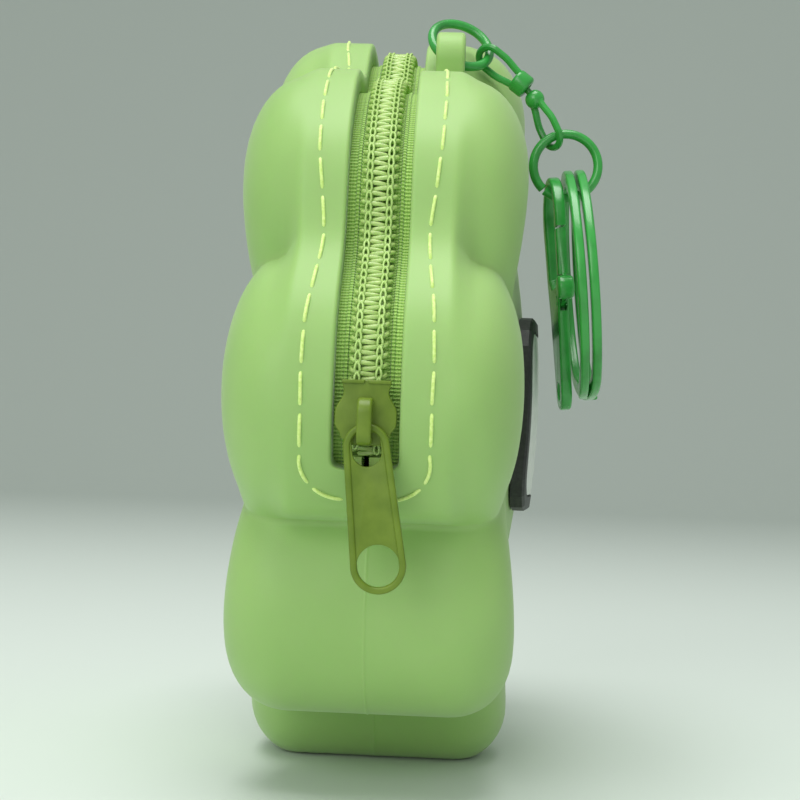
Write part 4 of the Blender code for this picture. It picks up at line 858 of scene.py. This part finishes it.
def round_bar(name, profile, axis, origin, sides=32):
    """A turned solid with its ends closed, from (radius, distance) pairs along an axis."""
    bar = bmesh.new()
    rings = []
    for radius, distance in profile:
        rings.append([])
        for step in range(sides):
            angle = 2 * math.pi * step / sides
            rings[-1].append(bar.verts.new((radius * math.cos(angle), radius * math.sin(angle), distance)))
    skin_rings(bar, rings)
    across = axis.orthogonal().normalized()
    return put(new_piece(name, bar), placed_frame(across, axis.cross(across), origin))


def cut_out(piece, tool):
    """Cut a tool out of a piece."""
    combine(piece, tool, "DIFFERENCE")
    soften(piece, 35)


def drill(piece, radius, reach, axis, origin):
    """Bore a round hole through a piece."""
    cut_out(piece, round_bar("drill", [(radius, -reach), (radius, reach)], axis, origin))


tab_foot = TAB_HOLE_RISE + TAB_ROOT
tab_right = [(TAB_RADIUS + TAB_FLARE, -tab_foot)]
tab_right += arc((TAB_RADIUS + TAB_FLARE, TAB_FLARE - TAB_HOLE_RISE), TAB_FLARE, 270, 180, 6)
tab_outline = tab_right + arc((0, 0), TAB_RADIUS, 0, 180, 32) + [(-x, y) for x, y in reversed(tab_right)]
tab = cut_plate("hanging_tab", [tab_outline], TAB_BACK_Y - TAB_FRONT_Y, TAB_ROUNDING, 4)
put(tab, placed_frame(tab_up.cross(Vector((0, 1, 0))), tab_up, tab_hole))
tab_hole_axis = ring_front * -math.sin(TAB_RING_SEAT) + ring_rise * math.cos(TAB_RING_SEAT)
drill(tab, TAB_HOLE_RADIUS, TAB_BACK_Y - TAB_FRONT_Y, tab_hole_axis, tab_hole)
dress(tab, silicone, "silicone", "purse")

# The tab ring: a round steel wire bent to a ring, closed by its weld and coated in glossy green enamel. It is
# hooked through the tab's hole and carries the swivel.
GREEN_DEEP = (0.020, 0.230, 0.032)
GREEN_BRIGHT = (0.034, 0.340, 0.052)
GREEN_POOLS = (260.0, 4.0)
GREEN_PEEL = (1500.0, 2.0)
GREEN_BUMP = (0.12, 0.00006)
GREEN_RAMP = (0.25, 0.6)
enamel, principled = grained(
    "green_enamel", GREEN_DEEP, GREEN_BRIGHT, 0.26, GREEN_POOLS, GREEN_BUMP, GREEN_PEEL, GREEN_RAMP
)
principled.inputs["Coat Weight"].default_value = 0.25
principled.inputs["Coat Roughness"].default_value = 0.15
tab_ring_centre = tab_hole - tab_ring_spoke(TAB_RING_SEAT) * (TAB_RING_RADIUS - TAB_RING_SAG)
bpy.ops.object.select_all(action="DESELECT")
bpy.ops.mesh.primitive_torus_add(
    major_radius=TAB_RING_RADIUS, minor_radius=RING_WIRE, major_segments=72, minor_segments=20
)
tab_ring = bpy.context.object
tab_ring.name = "tab_ring_wire"
put(tab_ring, placed_frame(ring_front, ring_rise, tab_ring_centre))
tab_ring.data.shade_smooth()
dress(tab_ring, enamel, "green_enamel", "ring", "tab_ring")

# The swivel: a steel wire eye set in a turned barrel, and a wire loop set in a ball below it, all enamelled
# green. A headed pin joins the two halves, and the lower one turns on it.
SWIVEL_TOP_SLOPE = math.radians(37.3)
SWIVEL_PIN_SLOPE = math.radians(49.5)
SWIVEL_BOTTOM_SLOPE = math.radians(63.6)
SWIVEL_TOP_TWIST = math.radians(-45.0)
SWIVEL_BOTTOM_TWIST = math.radians(33.0)
SWIVEL_WIRE = 0.0005
SWIVEL_LOOP_HALF = 0.00175
SWIVEL_TOP_LEG = 0.0044
SWIVEL_BOTTOM_LEG = 0.0049
SWIVEL_LEG_STEPS = 12
SWIVEL_BEND_STEPS = 24
BARREL_RADIUS = 0.00165
BARREL_HEIGHT = 0.0024
BARREL_ROUNDING = 0.0005
SWIVEL_BORE = 0.00075
SWIVEL_PIN_RADIUS = 0.00045
PIN_POCKET = 0.00125
PIN_POCKET_DEPTH = 0.0009
PIN_HEAD_HEIGHT = 0.0005
SWIVEL_NECK = 0.0004
BALL_RADIUS = 0.00135
SEAT_GAP = 0.0003


def sloped(slope):
    return Vector((0, -math.cos(slope), -math.sin(slope)))


def wire_loop(name, axis, twist, bend, leg, spread):
    """A wire loop with a round bend, whose two legs close in on their foot."""
    across = (Matrix.Rotation(twist, 3, axis) @ Vector((1, 0, 0))).normalized()
    leg_points = []
    for step in range(SWIVEL_LEG_STEPS):
        share = 1 - step / SWIVEL_LEG_STEPS
        half = SWIVEL_LOOP_HALF + (spread - SWIVEL_LOOP_HALF) * ease((share - 0.3) / 0.7)
        leg_points.append((half, leg * share))
    run = [bend + across * half + axis * down for half, down in leg_points]
    for step in range(SWIVEL_BEND_STEPS + 1):
        angle = math.pi * step / SWIVEL_BEND_STEPS
        run.append(bend + (across * math.cos(angle) - axis * math.sin(angle)) * SWIVEL_LOOP_HALF)
    run += [bend - across * half + axis * down for half, down in reversed(leg_points)]
    return wires(name, [run], SWIVEL_WIRE, 3)


top_axis = sloped(SWIVEL_TOP_SLOPE)
pin_axis = sloped(SWIVEL_PIN_SLOPE)
bottom_axis = sloped(SWIVEL_BOTTOM_SLOPE)
loop_play = SWIVEL_LOOP_HALF - SWIVEL_WIRE - RING_WIRE - SEAT_GAP
top_bend = tab_ring_centre + tab_ring_spoke(TAB_RING_HANG) * TAB_RING_RADIUS + top_axis * loop_play
barrel_start = top_bend + top_axis * SWIVEL_TOP_LEG
barrel_shape = []
for centre, first in ((BARREL_ROUNDING, 180), (BARREL_HEIGHT - BARREL_ROUNDING, 90)):
    rounded = arc((centre, BARREL_RADIUS - BARREL_ROUNDING), BARREL_ROUNDING, first, first - 90, 5)
    barrel_shape += [(y, x) for x, y in rounded]
eye_loop = wire_loop("eye_loop", top_axis, SWIVEL_TOP_TWIST, top_bend, SWIVEL_TOP_LEG + SWIVEL_WIRE,
                     BARREL_RADIUS - SWIVEL_WIRE)
swivel_eye = unite("swivel_eye", [round_bar("barrel", barrel_shape, top_axis, barrel_start), eye_loop])
bore_reach = BARREL_HEIGHT - PIN_POCKET_DEPTH
bore_middle = barrel_start + top_axis * (BARREL_HEIGHT + PIN_POCKET_DEPTH) / 2
drill(swivel_eye, SWIVEL_BORE, bore_reach, top_axis, bore_middle)
pocket = [(PIN_POCKET, -SWIVEL_WIRE / 5), (PIN_POCKET, PIN_POCKET_DEPTH)]
cut_out(swivel_eye, round_bar("pocket", pocket, top_axis, barrel_start))
dress(swivel_eye, enamel, "green_enamel", "swivel_upper", "swivel_top")

ball_centre = bore_middle + pin_axis * (bore_reach / 2 + SWIVEL_NECK + BALL_RADIUS)
bottom_leg = SWIVEL_BOTTOM_LEG + BALL_RADIUS / 2
bottom_bend = ball_centre + bottom_axis * bottom_leg
hook_loop = wire_loop("hook_loop", -bottom_axis, SWIVEL_BOTTOM_TWIST, bottom_bend, bottom_leg - SWIVEL_WIRE,
                      BALL_RADIUS - SWIVEL_WIRE)
ball_shape = [(y, x) for x, y in arc((0, 0), BALL_RADIUS, 176, 4, 20)]
swivel_hook = unite("swivel_hook", [round_bar("ball", ball_shape, pin_axis, ball_centre), hook_loop])
blind = [(SWIVEL_BORE, -BALL_RADIUS * 2), (SWIVEL_BORE, SWIVEL_WIRE)]
cut_out(swivel_hook, round_bar("blind", blind, pin_axis, ball_centre))
dress(swivel_hook, enamel, "green_enamel", "swivel_lower", "swivel_bottom")

head_base = -bore_reach / 2 - SEAT_GAP
pin_end = (ball_centre - bore_middle).length + SWIVEL_WIRE - SEAT_GAP
head_round = PIN_HEAD_HEIGHT / 2
head_edge = arc((head_round, PIN_POCKET - SEAT_GAP - head_round), head_round, 180, 0, 8)
pin_shape = [(y, head_base - PIN_HEAD_HEIGHT + x) for x, y in head_edge]
pin_shape += [(SWIVEL_PIN_RADIUS, head_base + SWIVEL_PIN_RADIUS / 9), (SWIVEL_PIN_RADIUS, pin_end)]
swivel_rivet = round_bar("swivel_rivet", pin_shape, pin_axis, bore_middle)
soften(swivel_rivet, 35)
dress(swivel_rivet, enamel, "green_enamel", "swivel_lower", "swivel_pin")

# The jump ring: the same enamelled steel wire bent round and left cut at its lower inner side. It was closed
# round the swivel's loop, the split ring and the clasp's claw.
JUMP_RING_RADIUS = 0.0045
JUMP_RING_CUT = math.radians(5.0)
JUMP_RING_CUT_ANGLE = math.radians(229.0)
JUMP_RING_STEPS = 96
jump_top = bottom_bend + bottom_axis * loop_play
jump_centre = jump_top + bottom_axis * JUMP_RING_RADIUS
jump_run = []
for step in range(JUMP_RING_STEPS + 1):
    angle = JUMP_RING_CUT_ANGLE + JUMP_RING_CUT / 2 + (2 * math.pi - JUMP_RING_CUT) * step / JUMP_RING_STEPS
    jump_run.append(jump_centre + Vector((0, -math.cos(angle), math.sin(angle))) * JUMP_RING_RADIUS)
jump_ring = wires("jump_ring_wire", [jump_run], RING_WIRE, 4)
dress(jump_ring, enamel, "green_enamel", "jump", "jump_ring")

# The split ring: a flat steel strip with rounded edges, wound in two turns that lie side by side with a thin
# seam between them, and enamelled green. It hangs in the jump ring.
SPLIT_RING_RADIUS = 0.016
SPLIT_RING_WIDTH = 0.0021
SPLIT_TURN_THICKNESS = 0.0012
SPLIT_TURN_GAP = 0.00042
SPLIT_ROUNDING = 0.0003
SPLIT_RING_TILT = math.radians(5.9)
SPLIT_STEPS = 120
SPLIT_OPEN_STEPS = 3
SPLIT_LAP_START = 0.9
SPLIT_LAP_SHARE = 0.2
CLASP_THICKNESS = 0.0015
CLASP_SIDE_GAP = 0.0007
split_thickness = 2 * SPLIT_TURN_THICKNESS + SPLIT_TURN_GAP
hung_width = split_thickness + CLASP_SIDE_GAP + CLASP_THICKNESS


def hung_seat(offset, half, tilt):
    """Where a plate hung in the jump ring meets its wire."""
    reach = JUMP_RING_RADIUS - RING_WIRE - SEAT_GAP
    heights = []
    for end in (-half, half):
        across = offset + end * math.cos(tilt)
        heights.append(end * math.sin(tilt) - math.sqrt(reach ** 2 - across ** 2))
    return jump_centre + Vector((0, offset, max(heights)))


strip_section = []
for centre_x, centre_y, first in ((1, 1, 0), (-1, 1, 90), (-1, -1, 180), (1, -1, 270)):
    corner_x = centre_x * (SPLIT_RING_WIDTH / 2 - SPLIT_ROUNDING)
    corner_y = centre_y * (SPLIT_TURN_THICKNESS / 2 - SPLIT_ROUNDING)
    strip_section += arc((corner_x, corner_y), SPLIT_ROUNDING, first, first + 90, 4)
strip = bmesh.new()
strip_rings = []
for step in range(2 * SPLIT_STEPS - SPLIT_OPEN_STEPS):
    angle = 2 * math.pi * (step + SPLIT_OPEN_STEPS / 2) / SPLIT_STEPS
    lap = ease((step / SPLIT_STEPS - SPLIT_LAP_START) / SPLIT_LAP_SHARE)
    shift = (SPLIT_TURN_THICKNESS + SPLIT_TURN_GAP) * (lap - 0.5)
    spoke = Vector((math.sin(angle), 0, -math.cos(angle)))
    middle = SPLIT_RING_RADIUS - SPLIT_RING_WIDTH / 2
    points = [spoke * (middle + x) + Vector((0, shift + y, 0)) for x, y in strip_section]
    strip_rings.append([strip.verts.new(point) for point in points])
skin_rings(strip, strip_rings)
split_ring = new_piece("split_ring_strip", strip)
split_edge = split_thickness / 2 - SPLIT_ROUNDING
split_seat = hung_seat((split_thickness - hung_width) / 2, split_edge, SPLIT_RING_TILT)
split_hang = Matrix.Translation((0, 0, SPLIT_RING_WIDTH - SPLIT_RING_RADIUS))
put(split_ring, Matrix.Translation(split_seat) @ Matrix.Rotation(-SPLIT_RING_TILT, 4, "X") @ split_hang)
soften(split_ring, 50)
dress(split_ring, enamel, "green_enamel", "split", "split_ring")

# The lobster clasp: a die-cast claw in green enamel, with a sprung gate on a rivet. It hangs by its claw
# beside the split ring, its gate towards the near side and its small eye at the bottom.
CLASP_LENGTH = 0.0325
CLAW_RADIUS = 0.0064
CLAW_WALL = 0.0020
CLAW_TOP_WALL = 0.0010
CLASP_ROUNDING = 0.0003
CLASP_EYE_RADIUS = 0.0026
CLASP_EYE_HOLE = 0.0012
CLASP_WAIST_HALF = 0.0029
CLASP_TURN = math.radians(5.0)
CLASP_TILT = math.radians(5.1)
CLASP_SLOT = 0.001
CLASP_FINE_ROUNDING = 0.00002
MOUTH_START = 0.0075
MOUTH_END = 0.0165
GATE_WIDTH = 0.0017
GATE_BAR = 0.0015
GATE_LEAF_THICKNESS = 0.0006
GATE_LEAF_ROUNDING = 0.00008
GATE_KNOB_RADIUS = 0.0016
GATE_KNOB_THICKNESS = 0.0022
GATE_KNOB_ROUNDING = 0.0004
GATE_PIN_RADIUS = 0.0005
GATE_PIN_BEVEL = 0.0001
claw_inner = CLAW_RADIUS - CLAW_WALL
claw_low = CLAW_TOP_WALL - CLAW_RADIUS
mouth_top = CLAW_TOP_WALL - MOUTH_START
mouth_bottom = CLAW_TOP_WALL - MOUTH_END
clasp_low = CLAW_TOP_WALL - CLASP_LENGTH + CLASP_EYE_RADIUS
nose = 180 - math.degrees(math.asin((mouth_top - claw_low) / CLAW_RADIUS))
nose_inner = 180 - math.degrees(math.asin((mouth_top + claw_inner) / claw_inner))
spine = CLAW_RADIUS * 0.82
knob_side = CLAW_RADIUS * 0.72
waist_x = CLASP_WAIST_HALF + CLAW_WALL / 2
waist_y = mouth_bottom - CLAW_WALL * 1.5
clasp_outline = arc((0, claw_low), CLAW_RADIUS, nose, -20, 40)
clasp_outline += [(spine, mouth_bottom + CLAW_WALL), (waist_x, waist_y)]
clasp_outline += arc((0, clasp_low), CLASP_EYE_RADIUS, 0, -180, 24)
clasp_outline += [(-waist_x, waist_y), (-knob_side, mouth_bottom)]
clasp_outline += [(-CLAW_RADIUS * 0.42, mouth_bottom + CLAW_WALL / 2)]
clasp_outline += [(spine - CLAW_WALL * 2, mouth_bottom + CLAW_WALL / 2)]
clasp_outline += [(spine - CLAW_WALL, mouth_bottom + CLAW_WALL * 1.3)]
clasp_outline += arc((0, -claw_inner), claw_inner, -20, nose_inner, 32)
clasp_eye = arc((0, clasp_low), CLASP_EYE_HOLE, 0, 345, 23)
clasp_claw = cut_plate("clasp_claw", [clasp_outline, clasp_eye], CLASP_THICKNESS, CLASP_ROUNDING, 3)
gate_pivot = (-CLAW_RADIUS / 2, mouth_bottom - CLAW_WALL / 2)
gate_line = -CLAW_RADIUS + GATE_WIDTH * 0.75
slot_reach = GATE_WIDTH / 2 + SEAT_GAP * 2
slot_high = mouth_bottom + CLAW_WALL
slot_low = gate_pivot[1] - slot_reach
slot_near = gate_pivot[0] + slot_reach
slot_far = -CLAW_RADIUS - GATE_KNOB_RADIUS
slot_outline = [(slot_far, slot_low), (slot_near, slot_low), (slot_near, slot_high), (slot_far, slot_high)]
cut_out(clasp_claw, cut_plate("slot_tool", [slot_outline], CLASP_SLOT, CLASP_FINE_ROUNDING, 1))
pin_hole = GATE_PIN_RADIUS + SEAT_GAP
lever_axis = Vector((0, 0, 1))
lever_pivot = Vector((*gate_pivot, 0))
drill(clasp_claw, pin_hole, GATE_KNOB_THICKNESS, lever_axis, lever_pivot)
clasp_edge = CLASP_THICKNESS / 2 - CLASP_ROUNDING
clasp_place = (
    Matrix.Translation(hung_seat((hung_width - CLASP_THICKNESS) / 2, clasp_edge, CLASP_TILT))
    @ Matrix.Rotation(-CLASP_TILT, 4, "X")
    @ Matrix.Rotation(CLASP_TURN, 4, "Z")
    @ Matrix.Rotation(math.pi / 2, 4, "X")
)
put(clasp_claw, clasp_place)
dress(clasp_claw, enamel, "green_enamel", "clasp", "clasp_body")

gate_top = mouth_top - SEAT_GAP
gate_left = gate_line - GATE_WIDTH / 2
gate_right = gate_line + GATE_WIDTH / 2
gate_shoulder = mouth_bottom + GATE_KNOB_RADIUS * 1.6
gate_outline = [(gate_left, gate_top), (gate_left, gate_shoulder)]
gate_outline += arc((gate_left, mouth_bottom + GATE_KNOB_RADIUS * 0.4), GATE_KNOB_RADIUS, 110, 240, 14)
gate_outline += arc(gate_pivot, GATE_WIDTH / 2, 225, 405, 12)
gate_outline += [(gate_right, gate_shoulder), (gate_right, gate_top)]
leaf = cut_plate("gate_leaf", [gate_outline], GATE_LEAF_THICKNESS, GATE_LEAF_ROUNDING, 1)
bar_low = slot_high + SEAT_GAP
bar_outline = [(gate_left, gate_top), (gate_left, bar_low), (gate_right, bar_low), (gate_right, gate_top)]
gate_bar = cut_plate("gate_bar", [bar_outline], GATE_BAR, CLASP_ROUNDING, 3)
knob_y = mouth_bottom + GATE_KNOB_RADIUS * 0.3
knob_centre = Vector((-knob_side - SEAT_GAP - GATE_KNOB_RADIUS, knob_y, 0))
knob_round = GATE_KNOB_THICKNESS / 2 - GATE_KNOB_ROUNDING
knob_shape = []
for centre, first in ((-knob_round, 180), (knob_round, 90)):
    rounded = arc((centre, GATE_KNOB_RADIUS - GATE_KNOB_ROUNDING), GATE_KNOB_ROUNDING, first, first - 90, 4)
    knob_shape += [(y, x) for x, y in rounded]
clasp_lever = unite("clasp_lever", [leaf, gate_bar, round_bar("knob", knob_shape, lever_axis, knob_centre)])
drill(clasp_lever, pin_hole, GATE_KNOB_THICKNESS, lever_axis, lever_pivot)
put(clasp_lever, clasp_place)
dress(clasp_lever, enamel, "green_enamel", "gate", "clasp_gate")

rivet_half = CLASP_THICKNESS / 2
rivet_end = GATE_PIN_RADIUS - GATE_PIN_BEVEL
rivet_shape = [(rivet_end, -rivet_half), (GATE_PIN_RADIUS, -rivet_half + GATE_PIN_BEVEL)]
rivet_shape += [(GATE_PIN_RADIUS, rivet_half - GATE_PIN_BEVEL), (rivet_end, rivet_half)]
clasp_rivet = round_bar("clasp_rivet", rivet_shape, lever_axis, lever_pivot)
put(clasp_rivet, clasp_place)
soften(clasp_rivet, 35)
dress(clasp_rivet, enamel, "green_enamel", "clasp", "clasp_pin")

# The badge: a rounded rubber plate on the front face with a plain white panel let into it, both kept from the
# CAD. The zipper's three moulded stops are kept too, in the coils' nylon.
BADGE_BLACKS = ((0.008, 0.010, 0.009), (0.022, 0.026, 0.022))
BADGE_WHITES = ((0.66, 0.70, 0.64), (0.78, 0.80, 0.76))
RUBBER_GRAIN = (2200.0, 3.0)
RUBBER_BUMP = (0.3, 0.0001)
PANEL_CLOUDS = (800.0, 3.0)
rubber, principled = grained("badge_rubber", *BADGE_BLACKS, 0.5, RUBBER_GRAIN, RUBBER_BUMP)
panel_white, principled = grained("badge_white", *BADGE_WHITES, 0.42, PANEL_CLOUDS)
for name, finish in (
    ("badge_base", rubber), ("badge_panel", panel_white),
    ("top_stop_front", nylon), ("top_stop_back", nylon), ("bottom_stop", nylon),
):
    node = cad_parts[name]
    node.data.materials.clear()
    node.data.materials.append(finish)

# The stage: a pale floor that rises into a backdrop, soft lamps, and the camera where the photographer stood,
# close to the near petal and a little below the middle, tilted slightly up.
FLOOR_LEVEL = -0.0002
FLOOR_END = 1.0
COVE_RADIUS = 0.9
BACKDROP_TOP = 3.0
COVE_STEPS = 32
STAGE_HALF_WIDTH = 3.0
cove = [(-STAGE_HALF_WIDTH, FLOOR_LEVEL)]
for step in range(COVE_STEPS + 1):
    angle = math.pi / 2 * step / COVE_STEPS
    rise = COVE_RADIUS * (1 - math.cos(angle))
    cove.append((FLOOR_END + COVE_RADIUS * math.sin(angle), FLOOR_LEVEL + rise))
cove.append((FLOOR_END + COVE_RADIUS, BACKDROP_TOP))
paper = bmesh.new()
near_edge = [paper.verts.new((x, -STAGE_HALF_WIDTH, z)) for x, z in cove]
far_edge = [paper.verts.new((x, STAGE_HALF_WIDTH, z)) for x, z in cove]
for index in range(len(cove) - 1):
    paper.faces.new((near_edge[index], near_edge[index + 1], far_edge[index + 1], far_edge[index]))
floor = new_piece("floor", paper)
floor.data.shade_smooth()
floor_paint, nodes, links, principled = shader("pale_floor", (0.68, 0.75, 0.69), 0.7)
floor.data.materials.append(floor_paint)

world = bpy.data.worlds.new("studio")
bpy.context.scene.world = world
world.use_nodes = True
world.node_tree.nodes["Background"].inputs["Color"].default_value = (0.93, 0.97, 0.95, 1.0)
world.node_tree.nodes["Background"].inputs["Strength"].default_value = 0.45


def soft_lamp(name, place, target, power):
    lamp = bpy.data.lights.new(name, "AREA")
    lamp.shape = "SQUARE"
    lamp.size = LAMP_SIZE
    lamp.energy = power
    made = bpy.data.objects.new(name, lamp)
    bpy.context.collection.objects.link(made)
    made.location = place
    made.rotation_euler = (Vector(target) - Vector(place)).to_track_quat("-Z", "Y").to_euler()


LAMP_SIZE = 0.5
soft_lamp("top_lamp", (-0.15, 0.05, 0.75), (0, 0, 0.05), 4.5)
soft_lamp("camera_side_lamp", (-0.75, 0.30, 0.34), (0, 0, 0.03), 2.3)

CAMERA_PLACE = Vector((-0.23505, -0.01270, 0.04422))
CAMERA_YAW = math.radians(2.75)
CAMERA_PITCH = math.radians(1.81)
CAMERA_ROLL = math.radians(2.07)
FOCAL_PIXELS = 1580.0
IMAGE_PIXELS = 800.0
SENSOR_MM = 36.0
CLIP_START = 0.01
level = math.cos(CAMERA_PITCH)
forward = Vector((level * math.cos(CAMERA_YAW), level * math.sin(CAMERA_YAW), math.sin(CAMERA_PITCH)))
level_right = Vector((math.sin(CAMERA_YAW), -math.cos(CAMERA_YAW), 0))
level_up = level_right.cross(forward)
right = level_right * math.cos(CAMERA_ROLL) + level_up * math.sin(CAMERA_ROLL)
up = level_up * math.cos(CAMERA_ROLL) - level_right * math.sin(CAMERA_ROLL)
camera_data = bpy.data.cameras.new("camera")
camera_data.sensor_width = SENSOR_MM
camera_data.lens = SENSOR_MM * FOCAL_PIXELS / IMAGE_PIXELS
camera_data.clip_start = CLIP_START
camera = bpy.data.objects.new("camera", camera_data)
bpy.context.collection.objects.link(camera)
camera_turn = Matrix((right, up, -forward)).transposed().to_4x4()
camera.matrix_world = Matrix.Translation(CAMERA_PLACE) @ camera_turn
bpy.context.scene.camera = camera
bpy.context.scene.view_settings.view_transform = "Standard"
